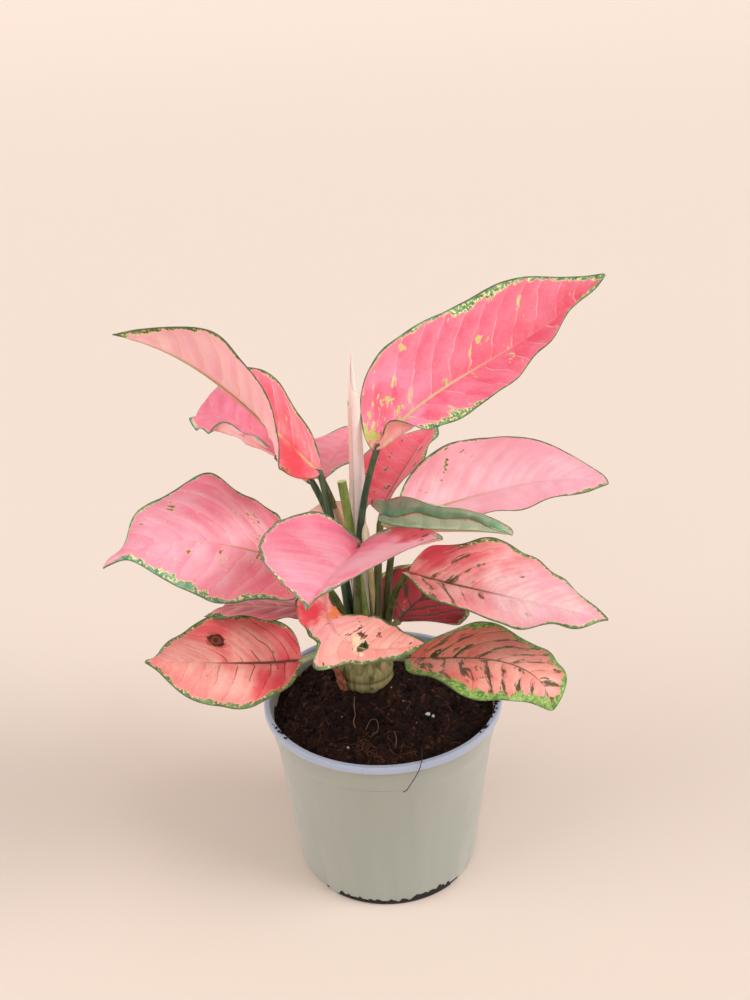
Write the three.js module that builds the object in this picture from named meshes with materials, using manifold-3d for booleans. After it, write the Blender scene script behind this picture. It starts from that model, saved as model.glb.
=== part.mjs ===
// A potted chinese evergreen with pink leaves: a plastic nursery pot, its soil, a short cane, and the
// leaves, rolled leaf, cut petiole and flower bud that grow from the cane.
// Millimetres, +Z up. The origin is the centre of the pot's underside, and -Y is the front.

import * as THREE from "three";
import { mergeVertices } from "three/addons/utils/BufferGeometryUtils.js";
import Module from "manifold-3d";

const wasm = await Module();
wasm.setup();

const GAP = 0.3; // clearance between pieces that touch

const POT = {
  height: 96,
  rimRadius: 60,
  rimInnerRadius: 57,
  rimBand: 4, // height of the band below the top edge
  wallTopRadius: 57.6, // outside of the wall, just under the rim band
  baseRadius: 46.5,
  baseBevel: 1.5,
  wall: 1.5,
  floor: 2,
  ledgeHeight: 79, // the small step that keeps stacked pots apart
  ledgeStep: 0.7,
  ledgeSlope: 1, // height that the step takes
  rimRounding: 0.5,
  rimTaper: 2, // height over which the inside narrows from the rim to the wall
  sides: 48,
};
const NOTCHES = {
  // drainage slots around the lower edge
  count: 8,
  firstAngle: -104,
  arc: 34,
  innerRadius: 39,
  outerRadius: 50,
  height: 3,
};
const SOIL = {
  edgeHeight: 88, // at the pot's wall
  moundHeight: 9, // extra height of the heap against the cane
  moundRadius: 24,
  unevenness: 0.7,
  rippleX: 7, // how far apart the uneven spots are, across and in depth
  rippleY: 9,
  rings: 7,
  sides: 40,
};
const CANE = {
  x: -8,
  y: 14,
  radius: 12.5,
  neckRadius: 9.5, // where the upper petioles grow
  bottom: 66,
  shoulder: 107,
  top: 118,
  scarHeights: [98, 104], // rings where old leaves were
  scarDepth: 0.6,
  sides: 24,
};
const PETIOLE = {
  outerRing: 12.3, // distance of the roots from the cane's axis, on its shoulder
  innerRing: 7.1, // and on its top
  outerRoot: 2.5, // radius of the sheath at the root
  innerRoot: 2.2,
  clearance: 0.9, // between the cane and the roots, which lean
  tip: 1.5, // radius where the blade begins
  thinnestAt: 0.625, // share of the stalk's length where it has thinned to that radius
  bendHeight: 0.6, // share of the way up, straight above the root, that a stalk leans towards by default
  reach: 0.05, // share of the midrib that the petiole runs on for
  steps: 8,
  sides: 6,
};
const BLADE = {
  thickness: 0.8,
  endHalfWidth: 0.7, // half width at the very base and tip
  foldRoom: 1.3, // room that the halves keep beside the midrib, in thicknesses
  lengthSteps: 12,
  halfSteps: 3, // across each half
};

// Each leaf, looking from its base to its tip:
// root and ring place its petiole on the cane, and bend is the point that the petiole leans towards;
// midrib holds four points from the base of the blade to its tip;
// half gives the widest left and right half, widest where along the blade that is, and taper how
// slowly the outline closes at the tip;
// left and right give the angle of each half above the horizontal, at even steps from base to tip, and
// leftCurl and rightCurl how much further it turns from midrib to margin; lobe lets the margins fall
// back behind the base.
const LEAVES = {
  leaf_top_right: {
    ring: "inner",
    root: -113,
    bend: [-12, 6, 190],
    midrib: [[6, 8, 232], [35, 20, 250], [70, 22, 270], [104, 10, 302]],
    half: [34, 25],
    widest: 0.4,
    taper: 0.85,
    left: [62, 64, 58, 62],
    right: [-4, -20, -20, -14],
    colour: "#e8718f",
  },
  leaf_top_left: {
    ring: "inner",
    root: -158,
    bend: [-16, 4, 170],
    midrib: [[-25, 5, 216], [-49, -5, 248], [-74, -15, 276], [-108, -10, 290]],
    half: [28, 20],
    widest: 0.42,
    taper: 0.9,
    left: [-20, -28, 20, 62, 66],
    right: [44, 56, 52, 30, 30],
    colour: "#eb9aa4",
  },
  leaf_left_back: {
    ring: "inner",
    root: 157,
    midrib: [[-29, 8, 210], [-50, 25, 224], [-70, 43, 230], [-88, 58, 227]],
    half: [14, 22],
    widest: 0.6,
    taper: 0.45,
    left: [24, 0, -14, -10],
    right: [40, 36, 30],
    colour: "#ea7d93",
  },
  leaf_back: {
    ring: "inner",
    root: 112,
    midrib: [[-25, 14, 209], [-20, 45, 207], [-15, 72, 205], [-9, 100, 203]],
    half: [27, 12],
    widest: 0.42,
    taper: 0.9,
    left: [-6],
    right: [10],
    colour: "#e67a95",
  },
  leaf_left_rear: {
    ring: "inner",
    root: 67,
    midrib: [[-9, 24, 182], [-20, 36, 180], [-33, 50, 173], [-48, 60, 163]],
    half: [20, 20],
    widest: 0.45,
    taper: 0.8,
    left: [-10],
    right: [4],
    colour: "#e6a28f",
  },
  leaf_right_back: {
    ring: "inner",
    root: 22,
    midrib: [[4, 10, 196], [12, 40, 196], [23, 70, 199], [35, 90, 203]],
    half: [27, 22],
    widest: 0.42,
    taper: 0.9,
    left: [-10, -16, -14, -12],
    right: [46],
    colour: "#d9506a",
  },
  leaf_right_upper: {
    ring: "outer",
    root: 8,
    midrib: [[11, 2, 192], [45, 12, 197], [78, 10, 205], [107, -5, 209]],
    half: [30, 24],
    widest: 0.42,
    taper: 0.9,
    left: [50, 44, 28, 0],
    right: [18, 4, -8, -22],
    colour: "#ee9fb0",
  },
  leaf_green_fold: {
    ring: "outer",
    root: -50,
    midrib: [[2, 8, 189], [20, -10, 193], [40, -30, 201], [58, -45, 205]],
    half: [26, 12],
    widest: 0.4,
    taper: 0.8,
    left: [92],
    leftCurl: 76,
    right: [50],
    colour: "#6f9a76",
  },
  leaf_right_lower: {
    ring: "outer",
    root: -22,
    midrib: [[14, -10, 169], [40, -25, 169], [67, -40, 169], [100, -50, 164]],
    half: [32, 24],
    widest: 0.42,
    taper: 0.9,
    left: [34, 24, 6, 8],
    right: [30, 12, -6, 0],
    colour: "#e07a86",
  },
  leaf_right_low: {
    ring: "outer",
    root: -78,
    midrib: [[13, -15, 125], [36, -40, 141], [60, -60, 148], [73, -72, 133]],
    half: [30, 26],
    widest: 0.5,
    taper: 0.7,
    left: [36, 12, -12, 4],
    right: [14, 2, -8, -4],
    colour: "#d3665a",
  },
  leaf_right_shade: {
    ring: "outer",
    root: 45,
    midrib: [[9, 27, 121], [16, 40, 121], [29, 54, 124], [49, 66, 131]],
    half: [28, 34],
    widest: 0.42,
    taper: 0.9,
    left: [-10],
    right: [4],
    colour: "#8f3038",
  },
  leaf_left_mid: {
    ring: "outer",
    root: 142,
    midrib: [[-41, -5, 176], [-64, -20, 192], [-90, -35, 203], [-118, -45, 197]],
    half: [30, 36],
    widest: 0.42,
    taper: 0.9,
    left: [-10, -36, -38, -20],
    right: [44, 42, 16, -4],
    colour: "#ea7d93",
  },
  leaf_left_under: {
    ring: "outer",
    root: 170,
    midrib: [[-29, -14, 157], [-47, -15, 157], [-65, -18, 160], [-81, -18, 155]],
    half: [22, 24],
    widest: 0.45,
    taper: 0.8,
    left: [14],
    right: [-18],
    colour: "#b9606f",
  },
  leaf_left_low: {
    ring: "outer",
    root: -162,
    midrib: [[-38, -20, 130], [-59, -42, 144], [-79, -60, 157], [-99, -72, 166]],
    half: [25, 25],
    widest: 0.42,
    taper: 0.85,
    left: [-4, -20, -40, -24],
    right: [72, 44, 6, -8],
    colour: "#dd6e72",
  },
  leaf_front: {
    ring: "outer",
    root: -106,
    midrib: [[-8, -15, 187], [-14, -50, 198], [-20, -82, 207], [-28, -100, 204]],
    half: [44, 36],
    widest: 0.35,
    taper: 0.9,
    left: [34, 18, 24, 36],
    right: [50, 26, 20, 16],
    lobe: 8,
    colour: "#ef8fa6",
  },
  leaf_front_low: {
    ring: "outer",
    root: -134,
    midrib: [[-24, -25, 172], [-21, -48, 165], [-7, -66, 165], [18, -82, 176]],
    half: [16, 16],
    widest: 0.42,
    taper: 0.6,
    left: [20, 30, 30],
    right: [0, -20, -30, -10],
    colour: "#ee9188",
  },
};

const ROLLED_LEAF = {
  // the newest leaf, still rolled into a spear
  path: [[-8, 14, CANE.top + PETIOLE.clearance], [-9, 12, 165], [-8, 12, 220], [-8, 12, 271]],
  radii: [2.2, 2.4, 2.8, 2.8, 2.8, 2.7, 2.6, 2.2, 0.9, 0.4], // at even steps from root to tip
  sides: 10,
};
const CUT_PETIOLE = {
  // the stub of a leaf that was cut away
  root: -68,
  bend: [-9, -4, 165],
  end: [-15, 1, 213],
  radius: 2.1,
};
const FLOWER_BUD = {
  root: -23,
  bend: [-3, 4, 160],
  end: [-5, 2, 180],
  stalkRadius: 1.5,
  budRadius: 1.9,
  budHeight: 12,
};
const DRY_SHEATH = {
  // a withered scale leaf against the foot of the cane
  midrib: [[-21, 5, 95.3], [-21.9, 4.3, 100.5], [-22.9, 3.6, 106], [-24, 2.8, 111]],
  half: [4.5, 4.5],
  widest: 0.3,
  taper: 0.9,
  left: [18],
  right: [18],
};

const UP = new THREE.Vector3(0, 0, 1);
const degrees = THREE.MathUtils.degToRad;
const vector = (p) => new THREE.Vector3(...p);

// A smooth value at u, from 0 to 1, through evenly spaced values.
function through(values, u) {
  if (values.length < 2) return values[0];
  const points = values.map((value, i) => new THREE.Vector2(i, value));
  return new THREE.SplineCurve(points).getPoint(u).y;
}

// The cubic curve that passes its four points at 0, 1/3, 2/3 and 1.
function midribCurve(points) {
  const [a, b, c, d] = points.map(vector);
  const mix = (wa, wb, wc, wd) =>
    new THREE.Vector3()
      .addScaledVector(a, wa / 6)
      .addScaledVector(b, wb / 6)
      .addScaledVector(c, wc / 6)
      .addScaledVector(d, wd / 6);
  return new THREE.CubicBezierCurve3(a, mix(-5, 18, -9, 2), mix(2, -9, 18, -5), d);
}

// A closed solid from rings of points: each ring joins the next, and both ends are capped by a fan.
function ringSolid(rings) {
  const sides = rings[0].length;
  const centre = (ring) =>
    ring.reduce((sum, p) => sum.add(p), new THREE.Vector3()).divideScalar(sides);
  const points = [...rings.flat(), centre(rings[0]), centre(rings.at(-1))];
  const first = points.length - 2;
  const last = points.length - 1;
  const faces = [];
  for (let i = 0; i < sides; i++) {
    const j = (i + 1) % sides;
    for (let k = 0; k < rings.length - 1; k++) {
      const a = k * sides;
      const b = a + sides;
      faces.push(a + i, a + j, b + j, a + i, b + j, b + i);
    }
    const end = (rings.length - 1) * sides;
    faces.push(first, j, i, last, end + i, end + j);
  }
  return solid(points, faces);
}

// Vertices and faces as a manifold solid, turned outwards if they face inwards.
function solid(points, faces) {
  const vertProperties = new Float32Array(points.flatMap((p) => [p.x, p.y, p.z]));
  const make = (list) =>
    new wasm.Manifold(
      new wasm.Mesh({ numProp: 3, vertProperties, triVerts: new Uint32Array(list) }),
    );
  const made = make(faces);
  if (made.volume() > 0) return made;
  const turned = faces.slice();
  for (let i = 0; i < turned.length; i += 3) {
    [turned[i + 1], turned[i + 2]] = [turned[i + 2], turned[i + 1]];
  }
  return make(turned);
}

// A three.js geometry as a manifold solid.
function solidFrom(geometry) {
  geometry.deleteAttribute("normal");
  geometry.deleteAttribute("uv");
  const merged = mergeVertices(geometry, 1e-4);
  return new wasm.Manifold(
    new wasm.Mesh({
      numProp: 3,
      vertProperties: merged.attributes.position.array,
      triVerts: new Uint32Array(merged.index.array),
    }),
  );
}

function mesh(name, shape, colour, roughness) {
  const { vertProperties, triVerts, numProp, numVert } = shape.getMesh();
  const position = new Float32Array(numVert * 3);
  for (let i = 0; i < numVert; i++) {
    position.set(vertProperties.subarray(i * numProp, i * numProp + 3), i * 3);
  }
  const geometry = new THREE.BufferGeometry()
    .setAttribute("position", new THREE.BufferAttribute(position, 3))
    .setIndex(new THREE.BufferAttribute(triVerts, 1));
  geometry.computeVertexNormals();
  const material = new THREE.MeshStandardMaterial({ color: colour, roughness, metalness: 0 });
  const made = new THREE.Mesh(geometry, material);
  made.name = name;
  return made;
}

// A round rod along a curve, whose radius at u is given by a function.
function rod(curve, radiusAt, steps, sides) {
  const { normals, binormals } = curve.computeFrenetFrames(steps, false);
  const rings = [];
  for (let i = 0; i <= steps; i++) {
    const u = i / steps;
    const radius = radiusAt(u);
    const middle = curve.getPointAt(u);
    rings.push(
      Array.from({ length: sides }, (_, k) => {
        const angle = (2 * Math.PI * k) / sides;
        return middle
          .clone()
          .addScaledVector(normals[i], radius * Math.cos(angle))
          .addScaledVector(binormals[i], radius * Math.sin(angle));
      }),
    );
  }
  return ringSolid(rings);
}

// Where a petiole stands on the cane.
function rootPoint(ring, angle) {
  const distance = ring === "inner" ? PETIOLE.innerRing : PETIOLE.outerRing;
  const height = ring === "inner" ? CANE.top : CANE.shoulder;
  const turn = degrees(angle);
  return new THREE.Vector3(
    CANE.x + distance * Math.cos(turn),
    CANE.y + distance * Math.sin(turn),
    height + PETIOLE.clearance,
  );
}

// How wide the outline is at u, as a share of its widest.
function outline(u, widest, taper) {
  const rise = (taper * widest) / (1 - widest);
  const peak = widest ** rise * (1 - widest) ** taper;
  return (u ** rise * (1 - u) ** taper) / peak;
}

// The share of its fold that a blade keeps at u, where its thickness holds the two halves apart.
function foldShare(leaf, u, width) {
  const column = 1 / BLADE.halfSteps;
  const chord = (side) => through(leaf[side], u) + ((leaf[side + "Curl"] ?? 0) * column) / 2;
  const fold = Math.abs(chord("left") + chord("right")) / 2;
  const opening = Math.atan((BLADE.foldRoom * BLADE.thickness) / (2 * column * width));
  return Math.min(1, (90 - THREE.MathUtils.radToDeg(opening)) / Math.max(fold, 1));
}

// The point of a blade at u along the midrib and v across it, from -1 (left) to 1 (right), and the
// direction that is up from the blade there.
function bladePoint(leaf, curve, u, v) {
  const middle = curve.getPoint(u);
  const along = curve.getTangent(u);
  const right = along.clone().cross(UP).normalize();
  const above = right.clone().cross(along);
  const across = Math.abs(v);
  const share = outline(u, leaf.widest, leaf.taper);
  const widths = leaf.half.map((half) => THREE.MathUtils.lerp(BLADE.endHalfWidth, half, share));
  const fold = foldShare(leaf, u, Math.min(...widths));
  const half = (side) => {
    const sign = side === "right" ? 1 : -1;
    const width = widths[side === "right" ? 1 : 0];
    const lift = fold * through(leaf[side], u);
    const curl = fold * (leaf[side + "Curl"] ?? 0);
    const chord = degrees(lift + (curl * across) / 2);
    const slope = degrees(lift + curl * across);
    const point = middle
      .clone()
      .addScaledVector(right, sign * width * across * Math.cos(chord))
      .addScaledVector(above, width * across * Math.sin(chord))
      .addScaledVector(along, -(leaf.lobe ?? 0) * (1 - u) ** 3 * across ** 1.5);
    const up = new THREE.Vector3()
      .addScaledVector(right, -sign * Math.sin(slope))
      .addScaledVector(above, Math.cos(slope));
    return { point, up };
  };
  if (v > 0) return half("right");
  if (v < 0) return half("left");
  const up = half("left").up.add(half("right").up).normalize();
  return { point: middle, up };
}

// A blade as one closed sheet, from an upper and a lower surface that meet around its margin.
function bladeSolid(leaf) {
  const curve = midribCurve(leaf.midrib);
  const columns = 2 * BLADE.halfSteps + 1;
  const rings = [];
  for (let i = 0; i <= BLADE.lengthSteps; i++) {
    const u = (1 - Math.cos((Math.PI * i) / BLADE.lengthSteps)) / 2;
    const upper = [];
    const lower = [];
    for (let j = 0; j < columns; j++) {
      const { point, up } = bladePoint(leaf, curve, u, j / BLADE.halfSteps - 1);
      upper.push(point.clone().addScaledVector(up, BLADE.thickness / 2));
      lower.push(point.clone().addScaledVector(up, -BLADE.thickness / 2));
    }
    rings.push([...upper, ...lower.reverse()]);
  }
  return sheetSolid(rings, columns);
}

// Rings whose first half is a sheet's upper side and second half its lower side, closed at both ends
// by quads between the two sides. Both sides split along the same diagonals, or the sheet would cut
// through itself where it turns.
function sheetSolid(rings, columns) {
  const sides = rings[0].length;
  const faces = [];
  for (let k = 0; k < rings.length - 1; k++) {
    for (let i = 0; i < sides; i++) {
      const j = (i + 1) % sides;
      const a = k * sides;
      const b = a + sides;
      if (i < columns) faces.push(a + i, a + j, b + j, a + i, b + j, b + i);
      else faces.push(a + i, a + j, b + i, a + j, b + j, b + i);
    }
  }
  const end = (rings.length - 1) * sides;
  for (let i = 0; i < columns - 1; i++) {
    const opposite = sides - 1 - i;
    faces.push(i, opposite, opposite - 1, i, opposite - 1, i + 1);
    faces.push(end + i, end + opposite - 1, end + opposite, end + i, end + i + 1, end + opposite - 1);
  }
  return solid(rings.flat(), faces);
}

// A petiole from the cane to the blade, thickest at its sheath.
function petioleSolid(leaf) {
  const root = rootPoint(leaf.ring, leaf.root);
  const rib = midribCurve(leaf.midrib);
  const base = rib.getPoint(0);
  const bend = leaf.bend
    ? vector(leaf.bend)
    : new THREE.Vector3(root.x, root.y, THREE.MathUtils.lerp(root.z, base.z, PETIOLE.bendHeight));
  const path = new THREE.CurvePath();
  path.add(new THREE.QuadraticBezierCurve3(root, bend, base));
  path.add(new THREE.LineCurve3(base, rib.getPoint(PETIOLE.reach)));
  const rootRadius = leaf.ring === "inner" ? PETIOLE.innerRoot : PETIOLE.outerRoot;
  const thinned = (u) => Math.min(1, u / PETIOLE.thinnestAt);
  const radiusAt = (u) => THREE.MathUtils.lerp(rootRadius, PETIOLE.tip, thinned(u));
  return rod(path, radiusAt, PETIOLE.steps, PETIOLE.sides);
}

function leafMesh(name, leaf) {
  return mesh(name, bladeSolid(leaf).add(petioleSolid(leaf)), leaf.colour, 0.45);
}

function rolledLeafMesh() {
  const { path, radii, sides } = ROLLED_LEAF;
  const shape = rod(midribCurve(path), (u) => through(radii, u), 18, sides);
  return mesh("rolled_leaf", shape, "#f3c4b4", 0.45);
}

function cutPetioleMesh() {
  const { root, bend, end, radius } = CUT_PETIOLE;
  const curve = new THREE.QuadraticBezierCurve3(rootPoint("inner", root), vector(bend), vector(end));
  return mesh("cut_petiole", rod(curve, () => radius, 10, 8), "#5d8a3c", 0.45);
}

function flowerBudMesh() {
  const { root, bend, end, stalkRadius, budRadius, budHeight } = FLOWER_BUD;
  const curve = new THREE.QuadraticBezierCurve3(rootPoint("inner", root), vector(bend), vector(end));
  const stalk = rod(curve, () => stalkRadius, 8, 8);
  const bud = new THREE.SphereGeometry(1, 10, 8).rotateX(Math.PI / 2);
  bud.scale(budRadius, budRadius, budHeight / 2).translate(...end);
  bud.translate(0, 0, budHeight / 2 - stalkRadius);
  return mesh("flower_bud", stalk.add(solidFrom(bud)), "#efe3c8", 0.5);
}

function lathe(profile, sides) {
  const points = profile.map(([radius, height]) => new THREE.Vector2(radius, height));
  return solidFrom(new THREE.LatheGeometry(points, sides).rotateX(Math.PI / 2));
}

// Outside radius of the pot's wall at a height, below the ledge and above it.
function wallRadius(height) {
  const top = POT.height - POT.rimBand;
  const slope = (POT.wallTopRadius - POT.ledgeStep - POT.baseRadius) / top;
  const step = height > POT.ledgeHeight ? POT.ledgeStep : 0;
  return POT.baseRadius + slope * height + step;
}

function potMesh() {
  const { height, rimRadius, rimInnerRadius, baseBevel, floor, ledgeHeight } = POT;
  const round = POT.rimRounding;
  const band = height - POT.rimBand;
  const ledgeTop = ledgeHeight + POT.ledgeSlope;
  const narrowed = band - POT.rimTaper;
  const inner = (z) => wallRadius(z) - POT.wall;
  const shell = lathe(
    [
      [0, 0],
      [wallRadius(0) - baseBevel, 0],
      [wallRadius(baseBevel), baseBevel],
      [wallRadius(ledgeHeight), ledgeHeight],
      [wallRadius(ledgeTop), ledgeTop],
      [wallRadius(band), band],
      [rimRadius - round, band],
      [rimRadius, band + round],
      [rimRadius, height - round],
      [rimRadius - round, height],
      [rimInnerRadius + round, height],
      [rimInnerRadius, height - round],
      [rimInnerRadius, band],
      [inner(narrowed), narrowed],
      [inner(floor), floor],
      [0, floor],
      [0, 0],
    ],
    POT.sides,
  );
  return mesh("pot", notchSolids().reduce((rest, cut) => rest.subtract(cut), shell), "#aeaea4", 0.4);
}

// The drainage slots, as ring sectors that cut the pot's lower edge.
function notchSolids() {
  const { count, firstAngle, arc, innerRadius, outerRadius, height } = NOTCHES;
  return Array.from({ length: count }, (_, i) => {
    const middle = degrees(firstAngle + (360 * i) / count);
    const reach = degrees(arc / 2);
    const sector = new THREE.Shape();
    sector.absarc(0, 0, outerRadius, middle - reach, middle + reach, false);
    sector.absarc(0, 0, innerRadius, middle + reach, middle - reach, true);
    sector.closePath();
    const depth = height + 1;
    const block = new THREE.ExtrudeGeometry(sector, { depth, bevelEnabled: false, curveSegments: 6 });
    return solidFrom(block.translate(0, 0, -1));
  });
}

// Height of the soil: nearly level, with a heap around the cane.
function soilHeight(x, y) {
  const { edgeHeight, moundHeight, moundRadius, unevenness, rippleX, rippleY } = SOIL;
  const away = Math.hypot(x - CANE.x, y - CANE.y) / moundRadius;
  const ripple = Math.sin(x / rippleX) * Math.cos(y / rippleY);
  return edgeHeight + moundHeight * Math.exp(-away * away) + unevenness * ripple;
}

function soilMesh() {
  const { rings, sides, edgeHeight, unevenness } = SOIL;
  const bottom = POT.floor + GAP;
  const inside = (z) => wallRadius(z) - POT.wall - GAP;
  const surfaceRadius = inside(edgeHeight - 2 * unevenness); // clear of the wall in the lowest spots too
  const ringAt = (radius, heightAt) =>
    Array.from({ length: sides }, (_, k) => {
      const angle = (2 * Math.PI * k) / sides;
      const x = radius * Math.cos(angle);
      const y = radius * Math.sin(angle);
      return new THREE.Vector3(x, y, heightAt(x, y));
    });
  const ringList = [ringAt(inside(bottom), () => bottom)];
  for (let i = rings; i >= 1; i--) {
    ringList.push(ringAt((surfaceRadius * i) / rings, soilHeight));
  }
  // the hole that the cane stands in runs from below the cane to above the soil
  const bore = lathe(
    [
      [0, CANE.bottom - GAP],
      [CANE.radius + GAP, CANE.bottom - GAP],
      [CANE.radius + GAP, CANE.top],
      [0, CANE.top],
      [0, CANE.bottom - GAP],
    ],
    CANE.sides,
  ).translate([CANE.x, CANE.y, 0]);
  return mesh("soil", ringSolid(ringList).subtract(bore), "#2a1a16", 0.95);
}

function caneMesh() {
  const { x, y, radius, neckRadius, bottom, shoulder, top, sides } = CANE;
  const waist = radius - CANE.scarDepth;
  // each ring scar stands out to the cane's full radius and fades within 1 mm above and below
  const scars = CANE.scarHeights.flatMap((height) => [
    [waist, height - 1],
    [radius, height],
    [waist, height + 1],
  ]);
  const profile = [
    [0, bottom],
    [waist, bottom],
    ...scars,
    [waist, shoulder],
    [neckRadius, shoulder],
    [neckRadius, top],
    [0, top],
    [0, bottom],
  ];
  return mesh("cane", lathe(profile, sides).translate([x, y, 0]), "#b9c08a", 0.6);
}

const plant = new THREE.Group();
plant.add(potMesh(), soilMesh(), caneMesh());
for (const [name, leaf] of Object.entries(LEAVES)) plant.add(leafMesh(name, leaf));
plant.add(rolledLeafMesh(), cutPetioleMesh(), flowerBudMesh());
plant.add(mesh("dry_sheath", bladeSolid(DRY_SHEATH), "#7a3f2a", 0.8));

export default plant;
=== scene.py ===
import bpy
import math
import random
from mathutils import Euler, Matrix, Quaternion, Vector, noise


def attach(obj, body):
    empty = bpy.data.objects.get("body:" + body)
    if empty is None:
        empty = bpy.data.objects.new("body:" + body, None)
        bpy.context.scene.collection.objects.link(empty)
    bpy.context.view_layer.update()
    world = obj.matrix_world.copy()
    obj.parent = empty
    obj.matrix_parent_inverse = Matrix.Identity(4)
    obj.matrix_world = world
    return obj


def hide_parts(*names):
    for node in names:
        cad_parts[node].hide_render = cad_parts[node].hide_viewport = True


# A potted chinese evergreen: pink leaves edged in green, on stalks from a short cane in a nursery pot.
# The pot's underside is at the origin, +Z is up and -Y is the front. Sizes are in millimetres, and mm
# turns them to Blender's metres.

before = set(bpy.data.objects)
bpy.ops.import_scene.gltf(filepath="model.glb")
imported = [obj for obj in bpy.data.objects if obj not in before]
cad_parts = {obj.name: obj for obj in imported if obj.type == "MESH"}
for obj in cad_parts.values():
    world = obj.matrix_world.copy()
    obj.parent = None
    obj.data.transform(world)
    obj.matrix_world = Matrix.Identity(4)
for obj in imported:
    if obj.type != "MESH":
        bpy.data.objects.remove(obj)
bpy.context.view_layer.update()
mm = 0.001
print("frame loaded,", len(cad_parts), "nodes")


# Small helpers

def linear(hexColour):
    # an sRGB hex colour as the linear colour that a socket takes
    def channel(pair):
        value = int(pair, 16) / 255
        return value / 12.92 if value <= 0.04045 else ((value + 0.055) / 1.055) ** 2.4
    return tuple(channel(hexColour[i:i + 2]) for i in (1, 3, 5)) + (1.0,)


def plug(node, inputs):
    # fills a node's inputs, in a list by place or in a dictionary by name: each takes a value, a "#rrggbb"
    # colour, a node, or a pair of a node and its output's name
    sockets = [s for s in node.inputs if s.enabled]
    for key, source in inputs.items() if isinstance(inputs, dict) else enumerate(inputs):
        socket = sockets[key] if isinstance(key, int) else next(s for s in sockets if s.name == key)
        if isinstance(source, bpy.types.Node):
            source = (source, None)
        if isinstance(source, tuple) and isinstance(source[0], bpy.types.Node):
            outputs = [o for o in source[0].outputs if o.enabled and source[1] in (None, o.name)]
            node.id_data.links.new(outputs[0], socket)
        else:
            socket.default_value = linear(source) if isinstance(source, str) else source


def newMaterial(name, inputs=()):
    # a material with its shader's inputs set, the function that adds a node to it, and its shader
    material = bpy.data.materials.new(name)
    material.use_nodes = True
    tree = material.node_tree
    plug(tree.nodes["Principled BSDF"], inputs)

    def add(kind, inputs=(), **settings):
        # adds a shader node with its settings and links; a Mix mixes colours unless it is told otherwise
        node = tree.nodes.new("ShaderNode" + kind)
        if kind == "Mix":
            node.data_type = "RGBA"
        for setting, value in settings.items():
            setattr(node, setting, value)
        plug(node, inputs)
        return node

    return material, add, tree.nodes["Principled BSDF"]


softly = dict(interpolation_type="SMOOTHSTEP")  # a Map Range that eases in and out
seeded = dict(noise_dimensions="4D")  # a noise whose W is its seed


def deselectAll():
    if bpy.context.object and bpy.context.object.mode != "OBJECT":
        bpy.ops.object.mode_set(mode="OBJECT")
    bpy.ops.object.select_all(action="DESELECT")


def activate(piece):
    deselectAll()
    piece.select_set(True)
    bpy.context.view_layer.objects.active = piece


def applyPlace():
    bpy.ops.object.transform_apply(location=True, rotation=True, scale=True)


def applyModifiers(piece):
    activate(piece)
    for modifier in list(piece.modifiers):
        bpy.ops.object.modifier_apply(modifier=modifier.name)


def startEdit():
    bpy.ops.object.mode_set(mode="EDIT")
    bpy.ops.mesh.select_all(action="SELECT")


def endEdit(merge=False):
    # leaves edit mode with every face turned outwards
    bpy.ops.mesh.select_all(action="SELECT")
    if merge:
        bpy.ops.mesh.remove_doubles(threshold=0.01 * mm)
    bpy.ops.mesh.normals_make_consistent(inside=False)
    bpy.ops.object.mode_set(mode="OBJECT")


def smoothUnder(degrees):
    bpy.ops.object.shade_smooth_by_angle(angle=math.radians(degrees))


def newGrid(name, columns, rows, size=1):
    deselectAll()
    bpy.ops.mesh.primitive_grid_add(x_subdivisions=columns, y_subdivisions=rows, size=size)
    grid = bpy.context.object
    grid.name = name
    return grid


def thicken(sheet, thickness, **settings):
    # gives a sheet its thickness in mm
    shell = sheet.modifiers.new("sheetThickness", "SOLIDIFY")
    shell.thickness = thickness * mm
    for setting, value in settings.items():
        setattr(shell, setting, value)
    applyModifiers(sheet)


def settle(piece, slotName, node, *materials):
    # a finished piece: its place goes into its mesh, and it stands for its CAD node
    for material in materials:
        piece.data.materials.append(material)
    activate(piece)
    applyPlace()
    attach(piece, "root")
    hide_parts(node)


def through(values, u):
    # a smooth value at u, from 0 to 1, through evenly spaced values
    if len(values) < 2:
        return values[0]
    last = len(values) - 1
    i = min(int(u * last), last)
    f = u * last - i
    before, here = values[max(i - 1, 0)], values[i]
    after, beyond = values[min(i + 1, last)], values[min(i + 2, last)]
    return 0.5 * (2 * here + (after - before) * f + (2 * before - 5 * here + 4 * after - beyond) * f * f
                  + (3 * here - before - 3 * after + beyond) * f ** 3)


def smooth(low, high, value):
    t = min(max((value - low) / (high - low), 0), 1)
    return t * t * (3 - 2 * t)


# Camera, light and floor

view = dict(
    place=(0, -464, 417),
    pitch=24.74,  # degrees below level
    roll=-2.32,
    focalPixels=1100,
    pictureHeight=1000,
)
bpy.ops.object.camera_add(location=[c * mm for c in view["place"]])
camera = bpy.context.object
level = Euler((math.radians(90 - view["pitch"]), 0, 0)).to_matrix()
camera.rotation_euler = (level @ Matrix.Rotation(math.radians(view["roll"]), 3, "Z")).to_euler()
camera.data.sensor_width = 36
camera.data.lens = view["focalPixels"] / view["pictureHeight"] * camera.data.sensor_width
camera.data.clip_start = 0.02
bpy.context.scene.camera = camera
bpy.context.scene.view_settings.view_transform = "Standard"  # keeps the pinks as strong as the colours set

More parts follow.
